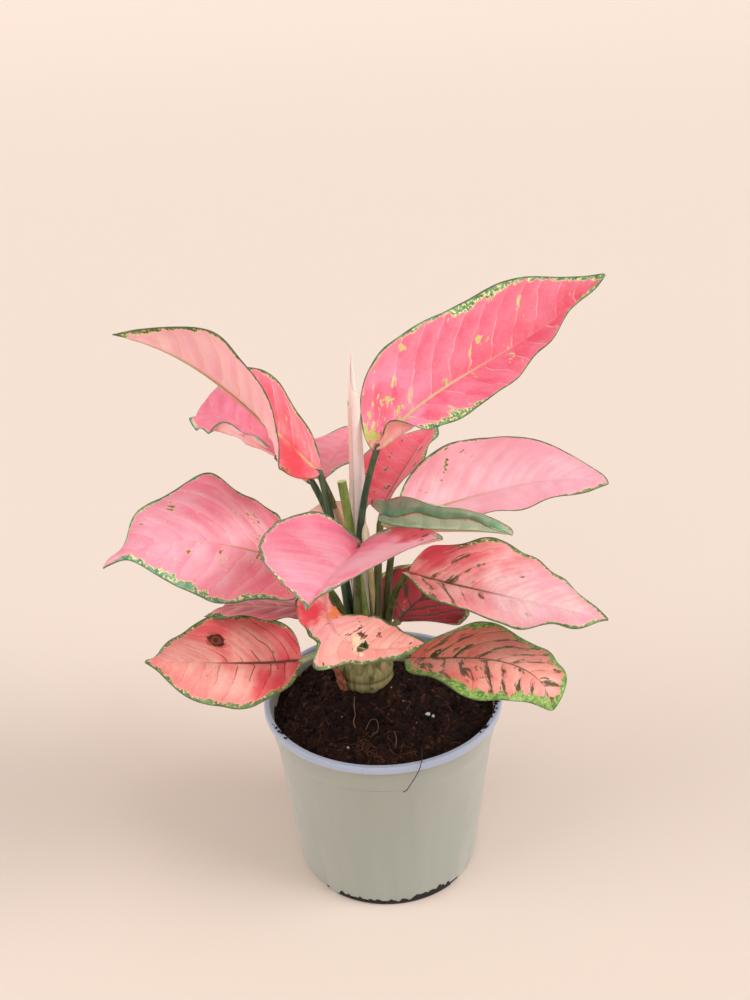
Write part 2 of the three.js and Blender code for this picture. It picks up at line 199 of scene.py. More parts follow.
lamps = [  # large soft lamps far off: degrees right of the front, degrees up, strength, softness in degrees
    dict(name="keySoftbox", side=72, height=38, power=1.65, softness=34),
    dict(name="fillSoftbox", side=-70, height=36, power=0.9, softness=44),
    dict(name="frontSoftbox", side=-8, height=24, power=0.72, softness=50),
    dict(name="topSoftbox", side=10, height=72, power=0.4, softness=50),
]
for lamp in lamps:
    bpy.ops.object.light_add(type="SUN", location=(0, 0, 1))
    light = bpy.context.object
    light.name = lamp["name"]
    light.data.energy = lamp["power"]
    light.data.angle = math.radians(lamp["softness"])
    light.rotation_euler = (math.radians(90 - lamp["height"]), 0, math.radians(lamp["side"]))

world = bpy.data.worlds.new("paleRoom")
bpy.context.scene.world = world
world.use_nodes = True
plug(world.node_tree.nodes["Background"], {"Color": "#f8f1ec", "Strength": 0.42})

deselectAll()
sweepRadius, sweepHeight = 2.5, 0
bpy.ops.mesh.primitive_circle_add(vertices=96, radius=sweepRadius, fill_type="NGON")
floor = bpy.context.object
floor.name = "floor"
startEdit()
bpy.ops.mesh.region_to_loop()
for nextRadius, nextHeight in [(4, 0.04), (6, 0.2), (9, 0.9), (16, 4.6)]:
    # far from the plant the floor sweeps up a little, so that no horizon shows
    bpy.ops.mesh.extrude_region_move(TRANSFORM_OT_translate={"value": (0, 0, nextHeight - sweepHeight)})
    grow = nextRadius / sweepRadius
    bpy.ops.transform.resize(value=(grow, grow, 1), center_override=(0, 0, nextHeight))
    sweepRadius, sweepHeight = nextRadius, nextHeight
endEdit()
smoothUnder(40)
# uncoated backdrop paper has no gloss, so only the soft shadow shows on it
floor.data.materials.append(newMaterial("matteBackdropPaper", {"Base Color": "#ead9cc", "Roughness": 0.9})[0])
print("camera, lights and floor ready")


# The nursery pot

pot = dict(
    height=96, rimRadius=60, rimInner=57, rimBand=4, baseRadius=46.5, wallTop=57.6,
    ledgeHeight=79, ledgeStep=0.7, wall=1.5, floor=2,
    notches=8, firstNotch=-104, notchArc=34, notchHeight=3,
    shadedSide=(0.05, -0.999, 0),  # the front side, where the slots and the wall's foot are painted with shade
)


def wallRadius(height):
    # the wall's outer radius: a straight taper with a small ledge near the top
    slope = (pot["wallTop"] - pot["ledgeStep"] - pot["baseRadius"]) / (pot["height"] - pot["rimBand"])
    ledge = pot["ledgeStep"] * smooth(pot["ledgeHeight"], pot["ledgeHeight"] + 1.4, height)
    return pot["baseRadius"] + slope * height + ledge


def turned(name, profile, sides=96, centre=(0, 0)):
    # a disc of the profile's first radius, extruded from ring to ring of radii and heights in mm
    radius, height = profile[0]
    deselectAll()
    bpy.ops.mesh.primitive_circle_add(vertices=sides, radius=radius * mm, fill_type="NGON",
                                      location=(centre[0] * mm, centre[1] * mm, height * mm))
    piece = bpy.context.object
    piece.name = name
    applyPlace()
    startEdit()
    for nextRadius, nextHeight in profile[1:]:
        bpy.ops.mesh.extrude_region_move(TRANSFORM_OT_translate={"value": (0, 0, (nextHeight - height) * mm)})
        grow = nextRadius / radius
        bpy.ops.transform.resize(value=(grow, grow, 1),
                                 center_override=(centre[0] * mm, centre[1] * mm, nextHeight * mm))
        radius, height = nextRadius, nextHeight
    endEdit()
    return piece


def mouldedPolypropylene(name):
    # moulded polypropylene: satin and a little translucent, grey-green with faint flow streaks up the wall,
    # lavender-grey on the rim band, and uneven in its gloss where it is grimy; peat dust clings under the rim
    material, add, skin = newMaterial(name)
    position = add("TexCoord")
    inMm = add("Mapping", {"Vector": (position, "Object"), "Scale": (1 / mm, 1 / mm, 1 / mm)})
    height = add("SeparateXYZ", [inMm])
    flow = add("Mapping", {"Vector": (position, "Object"), "Scale": (0.12 / mm, 0.12 / mm, 0.006 / mm)})
    streak = add("TexNoise", {"Vector": flow, "Scale": 1.0, "Detail": 2.0})
    tone = add("MapRange", [streak, 0.3, 0.7])
    wall = add("Mix", [tone, "#949b92", "#9ba097"])
    band = add("MapRange", [(height, "Z"), 91.6, 92.4])
    paint = add("Mix", [band, wall, "#a5afc6"])
    # painted shade: a dark hairline along the moulded ledge's step, clear at the front and faint elsewhere
    offLedge = add("Math", [(height, "Z"), pot["ledgeHeight"] + 0.4], operation="SUBTRACT")
    offLedge = add("Math", [offLedge], operation="ABSOLUTE")
    ledgeShade = add("MapRange", [offLedge, 0.4, 0.1, 0, 0.8])
    fromShown = add("VectorMath", [inMm, (-6, -57, pot["ledgeHeight"])], operation="DISTANCE")
    shown = add("MapRange", [(fromShown, "Value"), 28.0, 16.0, 0.15])
    ledgeShade = add("Math", [ledgeShade, shown], operation="MULTIPLY")
    paint = add("Mix", [ledgeShade, paint, "#585850"])
    speck = add("TexNoise", {"Vector": inMm, "Scale": 1 / 0.9, "Detail": 2.0})
    grime = add("TexNoise", {"Vector": inMm, "Scale": 1 / 12, "Detail": 4.0})
    dusty = add("MapRange", [(height, "Z"), 84.0, 97.0, 0.0, 0.1])
    dusty = add("Math", [grime, dusty, speck], operation="MULTIPLY_ADD")
    dust = add("MapRange", [dusty, 0.74, 0.78, 0, 0.5])
    paint = add("Mix", [dust, paint, "#4d3b2f"])
    scuff = add("MapRange", [grime, 0.35, 0.65, 0.36, 0.46])
    bump = add("Bump", {"Height": streak, "Strength": 0.1, "Distance": 0.1 * mm})
    # the sheen is a film of fine dust, which lightens the wall's turned-away sides
    plug(skin, {"Base Color": paint, "Roughness": scuff, "Sheen Weight": 0.42, "Sheen Roughness": 0.5,
                "Normal": bump, "IOR": 1.49, "Subsurface Weight": 0.05, "Subsurface Scale": 1.5 * mm})
    return material


rim, mouth, wall = pot["rimRadius"], pot["rimInner"], pot["wall"]
rimTop, rimUnder = pot["height"], pot["height"] - pot["rimBand"]
potShell = turned("potShell", [
    (wallRadius(0) - wall, 0), (wallRadius(0) - 0.5, 0.4),
    *((wallRadius(height), height) for height in (1.5, 40, 79, 79.7, 80.4, rimUnder - 0.4)),
    (wallRadius(rimUnder) + 0.4, rimUnder), (rim - 0.7, rimUnder + 0.1), (rim - 0.2, rimUnder + 0.4),
    (rim, rimUnder + 0.9), (rim, rimTop - 1.1), (rim - 0.2, rimTop - 0.5), (rim - 0.6, rimTop - 0.1),
    (rim - 1.1, rimTop), (mouth + 1, rimTop), (mouth + 0.5, rimTop - 0.1), (mouth + 0.15, rimTop - 0.5),
    (mouth, rimTop - 1.1), (mouth, rimUnder),
    *((wallRadius(height) - wall, height) for height in (90, 60, pot["floor"])),
])
bpy.ops.object.mode_set(mode="EDIT")
bpy.ops.mesh.select_all(action="DESELECT")
bpy.ops.object.mode_set(mode="OBJECT")
for notch in range(pot["notches"]):
    # one drainage slot: an upright strip swept through its arc, cut out of the lower edge
    start = math.radians(pot["firstNotch"] + notch * 360 / pot["notches"] - pot["notchArc"] / 2)
    deselectAll()
    bpy.ops.mesh.primitive_plane_add(size=1)
    cutter = bpy.context.object
    cutter.scale = (4.3 * mm, (pot["notchHeight"] + 1) * mm, 1)
    cutter.rotation_euler = (math.radians(90), 0, 0)
    cutter.location = (47.85 * mm, 0, (pot["notchHeight"] - 1) / 2 * mm)
    applyPlace()
    cutter.rotation_euler = (0, 0, start)
    applyPlace()
    startEdit()
    bpy.ops.mesh.spin(steps=10, angle=-math.radians(pot["notchArc"]), center=(0, 0, 0), axis=(0, 0, 1))
    endEdit(merge=True)
    cut = potShell.modifiers.new("drainageSlot", "BOOLEAN")
    cut.object = cutter
    cut.operation = "DIFFERENCE"
    cut.solver = "EXACT"
    applyModifiers(potShell)
    bpy.data.objects.remove(cutter)
activate(potShell)
smoothUnder(32)
# painted shade: near-black and a little glossy, on the faces of the front drainage slots and on the crust at the
# wall's foot
footShadeBlack = newMaterial("painted_shade_at_pot_foot", {"Base Color": "#0b0a07", "Roughness": 0.7})[0]
# the slot faces on the front side take the painted shade
for face in potShell.data.polygons:
    inSlot = (0.02 * mm < face.center.z < (pot["notchHeight"] + 0.05) * mm
              and math.hypot(face.center.x, face.center.y) / mm < pot["baseRadius"] - 0.6)
    if inSlot and face.center.dot(Vector(pot["shadedSide"])) > 31 * mm:
        face.material_index = 1
settle(potShell, "pot_plastic", "pot", mouldedPolypropylene("pot_polypropylene"), footShadeBlack)

# painted shade: a ragged black crust of its own on the wall's foot, over the front drainage slots
shadeCrust = dict(start=-127, end=-48, height=3.1, ragged=2.2, rightHeap=1.7, stands=0.12, thickness=0.3)
crust = newGrid("paintedShadeCrust", 200, 8)
for vertex in crust.data.vertices:
    share, rise = vertex.co.x + 0.5, vertex.co.y + 0.5
    turn = shadeCrust["start"] + (shadeCrust["end"] - shadeCrust["start"]) * share
    top = (shadeCrust["height"] + shadeCrust["ragged"] * noise.turbulence(Vector((turn / 4, 0, 4)), 4, False)
           + shadeCrust["rightHeap"] * smooth(-82, -68, turn))
    top *= smooth(shadeCrust["start"], shadeCrust["start"] + 5, turn) * smooth(shadeCrust["end"], shadeCrust["end"] - 4, turn)
    height = 0.05 + max(top, 0.2) * rise
    out = wallRadius(height) + shadeCrust["stands"] - 0.7 * max(0, 1 - height / 1.5)  # follows the rounded foot
    vertex.co = (out * math.cos(math.radians(turn)) * mm, out * math.sin(math.radians(turn)) * mm, height * mm)
thicken(crust, shadeCrust["thickness"])
smoothUnder(40)
settle(crust, "soil", "soil", footShadeBlack)
print("pot turned and slotted, faces:", len(potShell.data.polygons))


# The soil and what lies in it

cane = dict(
    centre=(-8, 14),
    shoulder=107,
    top=118,
    outerRing=11.2,  # where the lower stalks stand, from the cane's axis
    innerRing=7.1,
)
soil = dict(
    edgeHeight=88, moundHeight=13, moundRadius=23, bottom=2.6,
    crumbs=520, grit=12, fibres=95, seed=5,
)


def peatTop(x, y):
    # the soil's height: a heap round the cane, clods of about 9 mm and crumbs of 2 to 3 mm
    heap = soil["moundHeight"] * math.exp(-((x - cane["centre"][0]) ** 2 + (y - cane["centre"][1]) ** 2)
                                          / soil["moundRadius"] ** 2)
    clods = 3.2 * noise.turbulence(Vector((x / 13, y / 13, 3)), 3, False) - 0.9
    crumbs = (1.5 * noise.noise(Vector((x / 2.6, y / 2.6, 8)))
              + 0.7 * noise.noise(Vector((x / 1.1, y / 1.1, 1))))
    piled = (4.2 * math.exp(-((x + 50) ** 2 + (y + 23) ** 2) / 70)
             + 4.4 * math.exp(-((x - 54) ** 2 + (y + 12) ** 2) / 80))
    return soil["edgeHeight"] + heap + 0.7 * math.sin(x / 7) * math.cos(y / 9) + clods + crumbs + piled


def dampPeat(name):
    # damp peat mix: nearly black crumbs that scatter light and don't shine, with rust-brown and paler bits
    material, add, skin = newMaterial(name)
    inMm = add("Mapping", {"Vector": (add("TexCoord"), "Object"), "Scale": (1 / mm, 1 / mm, 1 / mm)})
    crumb = add("TexVoronoi", {"Vector": inMm, "Scale": 1 / 1.7, "Randomness": 1.0})
    tint = add("SeparateColor", [(crumb, "Color")])
    paint = add("Mix", [(tint, "Red"), "#160a07", "#2b1812"])
    rusty = add("TexNoise", {"Vector": inMm, "Scale": 1 / 11, "Detail": 4.0, "Roughness": 0.65})
    spot = add("SeparateXYZ", [inMm])
    towardsFront = add("MapRange", [(spot, "Y"), -20.0, -45.0, 0, 0.09])
    rusty = add("Math", [rusty, towardsFront], operation="ADD")  # more rust-brown towards the front
    rusty = add("MapRange", [rusty, 0.55, 0.72, 0, 0.7])
    paint = add("Mix", [rusty, paint, "#42241a"])
    light = add("MapRange", [(tint, "Green"), 0.93, 0.96])
    light = add("Math", [light, 0.7], operation="MULTIPLY")
    paint = add("Mix", [light, paint, "#5c3a29"])
    rough = add("TexNoise", {"Vector": inMm, "Scale": 1 / 0.7, "Detail": 3.0})
    rough = add("Math", [(crumb, "Distance"), -0.8, rough], operation="MULTIPLY_ADD")
    bump = add("Bump", {"Height": rough, "Strength": 0.9, "Distance": 0.8 * mm})
    plug(skin, {"Base Color": paint, "Roughness": 0.88, "Specular IOR Level": 0.2, "Normal": bump})
    return material


peat = dampPeat("damp_peat")
insideTop = wallRadius(87) - 1.7
peatBed = newGrid("peatBed", 170, 170, 2)
for vertex in peatBed.data.vertices:
    # the square grid pressed into a disc, ring by ring
    x, y = vertex.co.x, vertex.co.y
    ring = max(abs(x), abs(y))
    angle = math.atan2(y, x) if ring > 1e-9 else 0
    squareEdge = ring / max(math.hypot(x, y), 1e-9)
    x, y = [c * squareEdge * insideTop for c in (x, y)]
    vertex.co = (x * mm, y * mm, peatTop(x, y) * mm)
startEdit()
bpy.ops.mesh.region_to_loop()
bpy.ops.mesh.extrude_region_move(TRANSFORM_OT_translate={"value": (0, 0, -4 * mm)})
shrink = (wallRadius(soil["bottom"]) - 1.8) / insideTop
bpy.ops.transform.resize(value=(shrink, shrink, 0), center_override=(0, 0, soil["bottom"] * mm))
bpy.ops.mesh.edge_face_add()
endEdit()
smoothUnder(60)
settle(peatBed, "soil", "soil", peat)


def scattered(name, spots, shapeSeed, roundness=0.3):
    # one mesh of small lumps, each a copy of one knobbly icosphere, at (x, y, z, size, flatness) in mm
    deselectAll()
    bpy.ops.mesh.primitive_ico_sphere_add(subdivisions=2, radius=1)
    lump = bpy.context.object
    corners = [v.co * (1 + roundness * noise.noise(v.co * 1.3 + Vector((shapeSeed, 0, 0))))
               for v in lump.data.vertices]
    faces = [list(p.vertices) for p in lump.data.polygons]
    bpy.data.objects.remove(lump)
    chance = random.Random(shapeSeed)
    points, polygons = [], []
    for x, y, z, size, flatness in spots:
        turn = Quaternion([chance.gauss(0, 1) for part in range(4)]).normalized()
        stretch = Vector((size, size * chance.uniform(0.6, 1), size * flatness))
        first = len(points)
        for corner in corners:
            point = turn @ Vector(a * b for a, b in zip(corner, stretch))
            points.append((Vector((x, y, z)) + point) * mm)
        polygons += [[first + i for i in face] for face in faces]
    mesh = bpy.data.meshes.new(name)
    mesh.from_pydata(points, [], polygons)
    piece = bpy.data.objects.new(name, mesh)
    bpy.context.collection.objects.link(piece)
    return piece


def roundRods(name, routes, sides=12):
    # one mesh of round rods; a route is a list of points in mm, each with its radius in mm
    curve = bpy.data.curves.new(name, "CURVE")
    curve.dimensions = "3D"
    curve.bevel_depth = mm
    curve.bevel_resolution = (sides - 4) // 2
    curve.use_fill_caps = True
    for route in routes:
        spline = curve.splines.new("POLY")
        spline.points.add(len(route) - 1)
        for knot, (point, radius) in zip(spline.points, route):
            knot.co = (point[0] * mm, point[1] * mm, point[2] * mm, 1)
            knot.radius = radius
    piece = bpy.data.objects.new(name, curve)
    bpy.context.collection.objects.link(piece)
    activate(piece)
    bpy.ops.object.convert(target="MESH")
    piece = bpy.context.object
    startEdit()
    endEdit(merge=True)
    smoothUnder(50)
    return piece


def onCurve(points, t):
    # a point of a smooth curve through the given points
    return Vector([through([p[axis] for p in points], t) for axis in range(3)])


def anySpot(radius):
    # a random place on a disc
    angle, reach = chance.uniform(0, 2 * math.pi), radius * math.sqrt(chance.uniform(0, 1))
    return reach * math.cos(angle), reach * math.sin(angle)


chance = random.Random(soil["seed"])
spots = []
while len(spots) < soil["crumbs"]:
    x, y = anySpot(insideTop)
    size = 0.5 + 1.5 * chance.random() ** 3
    if math.hypot(x, y) < insideTop - size - 0.2:
        spots.append((x, y, peatTop(x, y) + 0.2 * size, size, chance.uniform(0.5, 0.9)))
for degrees in [-158, -154, -150, -147, -22, -17, -13, -9, -33, -36]:
    for crumb in range(20):
        # crumbs that cling to the wall over the heaps, and some that lie on the rim
        size = chance.uniform(0.25, 0.85)
        onRim = chance.random() < 0.22
        reach = chance.uniform(57.3, 58.9) if onRim else pot["rimInner"] - 0.6 * size
        height = pot["height"] + 0.4 * size if onRim else chance.triangular(90, 95.8, 91.5)
        turn = math.radians(degrees + chance.gauss(0, 1.8))
        spots.append((reach * math.cos(turn), reach * math.sin(turn), height, size, 0.7))
settle(scattered("peatCrumbs", spots, 11, 0.5), "soil", "soil", peat)

# blown perlite is puffed white glass: chalky, with no shine
perlite = newMaterial("blown_perlite", {"Base Color": "#c9ccd2", "Roughness": 0.85})[0]
spots = [(22, -12.2, 90.6, 1.5, 0.6), (24.5, -13.5, 90.2, 0.9, 0.7), (-17.7, -35.2, 89.6, 0.8, 0.8)]
while len(spots) < soil["grit"]:
    x, y = anySpot(52)
    spots.append((x, y, peatTop(x, y) + 0.1, chance.uniform(0.16, 0.4), 0.8))
settle(scattered("perliteGrains", spots, 12, 0.4), "soil", "soil", perlite)


def dryFibre(name, colours, size=6, detail=1.0, spread=0.1, roughness=0.8, lengthwise=1):
    # dead plant fibre: dull, with no wax left, and each strand a little different from its neighbours
    material, add, skin = newMaterial(name)
    inMm = add("Mapping", {"Vector": (add("TexCoord"), "Object"), "Scale": (1 / mm, 1 / mm, lengthwise / mm)})
    strand = add("TexNoise", {"Vector": inMm, "Scale": 1 / size, "Detail": detail})
    strand = add("MapRange", [strand, 0.5 - spread, 0.5 + spread])
    plug(skin, {"Base Color": add("Mix", [strand, *colours]), "Roughness": roughness})
    return material


def strayFibre(x, y, length, radius, lift=0.5, curl=0.35):
    # a strand that wanders over the crumbs
    heading = chance.uniform(0, 2 * math.pi)
    route = []
    for step in range(9):
        height = peatTop(x, y) + lift * math.sin(math.pi * step / 8) + 0.25
        route.append((Vector((x, y, height)), radius))
        heading += chance.gauss(0, curl)
        x, y = x + length / 8 * math.cos(heading), y + length / 8 * math.sin(heading)
        if math.hypot(x, y) > insideTop - 1:
            break
    return route


brownFibres = []
while len(brownFibres) < soil["fibres"]:
    route = strayFibre(*anySpot(50), chance.uniform(4, 12), chance.uniform(0.05, 0.09), chance.uniform(0.2, 1.4))
    if len(route) > 3:
        brownFibres.append(route)
for tangle in range(80):
    # the rusty tangle near the front edge, and a smaller one on the left
    middleX, spreadX, middleY, spreadY = (-5, 9, -39, 5) if tangle < 66 else (-40, 4, -18, 4)
    x, y = chance.gauss(middleX, spreadX), chance.gauss(middleY, spreadY)
    brownFibres.append(strayFibre(x, y, chance.uniform(5, 11), 0.075, 1.2, 0.6))
brownFibres = [route for route in brownFibres if len(route) > 2]
fibres = roundRods("peatFibres", brownFibres, 6)
settle(fibres, "soil", "soil", dryFibre("peat_fibre", ("#3b2116", "#7a4c32")))

paleRoot = [(-14.3, -4, 97), (-14.6, -8, 94), (-14.2, -12, 91.5), (-15, -16, 90.5), (-14, -21, 90.3)]
loopRoot = [(-9, -22, 90), (-6.5, -18, 92.5), (-3.5, -19, 93), (-3, -24, 90.8), (-6, -27, 90.5)]
frontRoot = [(4.6, -25.7, 91), (5.6, -31, 91), (5, -37.5, 90.2)]
roots = [[(onCurve(points, t / 16), thickness) for t in range(17)]
         for points, thickness in ((paleRoot, 0.24), (loopRoot, 0.16), (frontRoot, 0.16))]
rootlets = roundRods("paleRootlets", roots, 8)
settle(rootlets, "soil", "soil", dryFibre("pale_rootlet", ("#6e5144", "#8d6d5a")))

# the dark root hair that has fallen over the rim
hairPath = [(17.5, -40, 91), (17, -50, 94), (16.4, -56.5, 96.6), (15.4, -60.3, 95.4), (13.4, -59.4, 90),
            (11.4, -58.3, 85.5), (9.6, -58.2, 82.2), (9, -58.1, 81.4), (7.4, -58.2, 80.6)]
rootHair = roundRods("rootHair", [[(onCurve(hairPath, t / 40), 0.2) for t in range(41)]], 6)
settle(rootHair, "soil", "soil", dryFibre("dark_root_hair", ("#241812", "#3d2a20")))
print("soil filled, with", soil["crumbs"], "crumbs and", len(brownFibres), "fibres")


# Living leaf skins

def patches(add, where, size, seed, low, high, detail=3.0, rough=0.6):
    # soft patches of about size mm: 0 where the noise is under low, 1 where it is over high
    cloud = add("TexNoise", {"Vector": where, "W": seed, "Scale": 1 / size,
                             "Detail": detail, "Roughness": rough}, **seeded)
    return add("MapRange", [cloud, low, high], **softly)


def leafSkin(name, look, seed, under=False):
    # a living leaf: a thin waxy skin over wet flesh, so it is satin and a little soft under the surface, and its
    # colour lies in the flesh, in streaks and specks that follow the veins and in bands of painted quilt shade
    # between them
    material, add, skin = newMaterial(name)
    place = add("Attribute", attribute_name="leafPlace")  # along, across and to the margin, in mm
    growth = add("Attribute", attribute_name="leafGrowth")  # vein number, green border, share along
    place, growth = add("SeparateXYZ", [(place, "Vector")]), add("SeparateXYZ", [(growth, "Vector")])
    alongLeaf, offRib, toMargin = [(place, axis) for axis in "XYZ"]
    veinNumber, borderReach, share = [(growth, axis) for axis in "XYZ"]
    across = add("Math", [offRib], operation="ABSOLUTE")
    flat = add("CombineXYZ", [alongLeaf, offRib])
    # coordinates that run with the side veins, so that streaks and flecks are long that way
    veinRun = add("Math", [veinNumber, 7.0], operation="MULTIPLY")
    veinSide = add("Math", [offRib, 0.42], operation="MULTIPLY")
    streaky = add("CombineXYZ", [veinRun, veinSide])
    veinThin = add("Math", [offRib, 0.2], operation="MULTIPLY")
    veiny = add("CombineXYZ", [veinRun, veinThin])

    # side veins, a little crooked
    crook = add("TexNoise", {"Vector": flat, "W": seed, "Scale": 1 / 14}, **seeded)
    veinAt = add("Math", [crook, look["crook"], veinNumber], operation="MULTIPLY_ADD")
    between = add("Math", [veinAt], operation="FRACT")
    offVein = add("Math", [between, 0.5], operation="SUBTRACT")
    offVein = add("Math", [offVein], operation="ABSOLUTE")
    pastVein = add("Math", [veinAt, 0.5], operation="ADD")
    pastVein = add("Math", [pastVein], operation="FRACT")

    # the flesh: clouds and streaks of a deep and a pale tone, with painted quilt shade banded from each vein to
    # the next
    cloud = patches(add, flat, 24, seed, 0.36, 0.64)
    streak = patches(add, streaky, 4.5, seed + 1, 0.36, 0.66)
    paler = add("Mix", [look["streaks"], cloud, streak], data_type="FLOAT")
    # painted shade of the quilted panels: deep just past each vein and pale up to the next, as if each panel
    # were lit from one side
    quiltShade = look["quiltShade"]
    paler = add("Math", [pastVein, quiltShade, paler], operation="MULTIPLY_ADD")
    paler = add("MapRange", [paler, quiltShade / 2, 1 + quiltShade / 2])
    deep, pale = look["under"] if under else look["flesh"]
    paint = add("Mix", [paler, deep, pale])
    if "tip" in look and not under:
        farDeep, farPale = look["tip"]
        farPaint = add("Mix", [paler, farDeep, farPale])
        farShare = add("Math", [cloud, 0.25, share], operation="MULTIPLY_ADD")
        farShare = add("MapRange", [farShare, 0.25, 0.85], **softly)
        paint = add("Mix", [farShare, paint, farPaint])
    if "tint" in look and not under:
        # a cool or warm tint in soft patches: its colour, how far it reaches and where along the leaf it is
        tintTone, tintShare, tintFrom, tintTo = look["tint"]
        tinted = patches(add, flat, 17, seed + 11, 0.4, 0.62)
        tintHere = add("MapRange", [share, tintFrom, tintTo, 0, tintShare], **softly)
        tinted = add("Math", [tinted, tintHere], operation="MULTIPLY")
        paint = add("Mix", [tinted, paint, tintTone])
    nearEdge = add("MapRange", [toMargin, 11.0, 1.5, 0, look["edgeShow"]], **softly)
    edgeTone = look["under"][0] if under else look["edge"]
    paint = add("Mix", [nearEdge, paint, edgeTone])

    # the veins' own lines, thinning towards the margin, and the fine net between them
    thinning = add("MapRange", [across, 0, 26.0, look["veinWidth"], 0.03])
    veinLine = add("Math", [offVein, thinning], operation="DIVIDE")
    veinLine = add("MapRange", [veinLine, 1.0, 0.0], **softly)
    veinBroken = patches(add, flat, 10, seed + 2, 0.38, 0.56)
    veinShow = add("Math", [veinLine, veinBroken], operation="MULTIPLY")
    veinShow = add("Math", [veinShow, look["veinShow"]], operation="MULTIPLY")
    if "veinFade" in look:
        # the veins show near the base and fade out along the leaf: from, to and what is left
        fadeFrom, fadeTo, fadeLeft = look["veinFade"]
        fading = add("MapRange", [share, fadeFrom, fadeTo, 1.0, fadeLeft])
        veinShow = add("Math", [veinShow, fading], operation="MULTIPLY")
    veinTone = look.get("underVein", look["under"][1]) if under else look["vein"]
    paint = add("Mix", [veinShow, paint, veinTone])
    net = add("TexVoronoi", {"Vector": flat, "Scale": 1 / 2.6}, feature="DISTANCE_TO_EDGE")
    netLine = add("MapRange", [net, 0.09, 0.0, 0, 0.1])
    paint = add("Mix", [netLine, paint, veinTone])

    # green that runs along the veins, on the leaves that have it
    if look.get("greenVeins"):
        near = add("MapRange", [offVein, look["greenSpread"], 0.03])
        wander = patches(add, veiny, 1.5, seed + 8, 0.42, 0.6, 5.0, 0.72)
        wander = add("Math", [near, wander], operation="MULTIPLY")
        greenAtBase, greenAtTip = look["greenLean"]
        towardsBase = add("MapRange", [share, 0, 1, greenAtBase, greenAtTip])
        grown = add("TexNoise", {"Vector": flat, "W": seed + 9, "Scale": 1 / 15, "Detail": 2.0}, **seeded)
        grown = add("Math", [grown, towardsBase], operation="ADD")
        grownFrom = 0.66 - 0.24 * look["greenVeins"]
        grown = add("MapRange", [grown, grownFrom, grownFrom + 0.1])
        wander = add("Math", [wander, grown], operation="MULTIPLY")
        wander = add("MapRange", [wander, 0.16, 0.42, 0, 0.92])
        paint = add("Mix", [wander, paint, look["veinGreen"]])

    # flecks of green in loose clusters, each with a pale rim
    flecks = look["flecks"] * (0.5 if under else 1)
    fleckField = add("TexNoise", {"Vector": streaky, "W": seed + 6, "Scale": 1 / 1.3,
                                  "Detail": 3.0, "Roughness": 0.6}, **seeded)
    cluster = patches(add, flat, 11, seed + 7, 0.52, 0.68)
    fleckField = add("Math", [cluster, 0.2, fleckField], operation="MULTIPLY_ADD")
    if look.get("baseGreen"):
        atBase = add("MapRange", [alongLeaf, look["baseReach"], 1.0, 0, look["baseGreen"]])
        fleckField = add("Math", [fleckField, atBase], operation="ADD")
    fleckCut = 0.84 - 0.16 * flecks
    fleckRim = add("MapRange", [fleckField, fleckCut - 0.03, fleckCut, 0, look["halo"]])
    fleck = add("MapRange", [fleckField, fleckCut + 0.01, fleckCut + 0.03])
    paint = add("Mix", [fleckRim, paint, look["cream"]])
    paint = add("Mix", [fleck, paint, look["fleck"]])

    # the midrib, widest at the base, which fades out along the blade
    ribReach = look["ribReach"]
    ribWidth = add("MapRange", [share, 0, 1, look["ribWidth"], 0.3])
    ribEdge = add("Math", [across, ribWidth], operation="DIVIDE")
    rib = add("MapRange", [ribEdge, 1.0, 0.4, 0, look["ribShow"]], **softly)
    ribFade = add("MapRange", [share, ribReach + 0.15, ribReach - 0.1, 0.08])
    rib = add("Math", [rib, ribFade], operation="MULTIPLY")
    paint = add("Mix", [rib, paint, look["rib"]])

    # the green border: how far it reaches in from the margin changes along the leaf and is broken up
    ragged = add("TexNoise", {"Vector": streaky, "W": seed + 3, "Scale": 1 / 4.5,
                              "Detail": 5.0, "Roughness": 0.7}, **seeded)
    ragged = add("MapRange", [ragged, 0.32, 0.68, 0.1, 2.1])
    reach = add("Math", [borderReach, ragged], operation="MULTIPLY")
    inside = add("Math", [toMargin, reach], operation="SUBTRACT")
    halo = add("MapRange", [inside, 1.0, 0.25, 0, look["halo"]], **softly)
    wideHere = add("MapRange", [reach, 0.7, 2.0, 0.1])
    halo = add("Math", [halo, wideHere], operation="MULTIPLY")
    border = add("MapRange", [inside, 0.3, -0.2], **softly)
    paint = add("Mix", [halo, paint, look["cream"]])
    green = add("Mix", [patches(add, flat, 3.5, seed + 4, 0.4, 0.6), look["border"][0], look["border"][1]])
    specks = patches(add, flat, 1.5, seed + 5, *look["speckCut"])
    inBorder = add("MapRange", [toMargin, 0.5, 1.3])
    specks = add("Math", [specks, inBorder], operation="MULTIPLY")
    green = add("Mix", [specks, green, look["cream"]])
    paint = add("Mix", [border, paint, green])
    outlineRun = patches(add, flat, 8, seed + 10, 0.36, 0.62)
    outline = add("Math", [outlineRun, -0.75, toMargin], operation="MULTIPLY_ADD")
    outline = add("MapRange", [outline, 0.25, -0.1, 0, 0.85])
    paint = add("Mix", [outline, paint, look["outline"]])

    # single marks: place along and across, size, colour and how soft their edge is, in mm
    for along, side, size, colour, softness in ([] if under else look.get("marks", [])):
        away = add("VectorMath", [flat, (along, side, 0)], operation="DISTANCE")
        uneven = add("TexNoise", {"Vector": flat, "Scale": 1 / (0.8 + 0.6 * size), "Detail": 3.0})
        away = add("Math", [uneven, size * 1.6, (away, "Value")], operation="MULTIPLY_ADD")
        mark = add("MapRange", [away, size * 1.8 + softness / 2, size * 1.8 - softness / 2], **softly)
        paint = add("Mix", [mark, paint, colour])

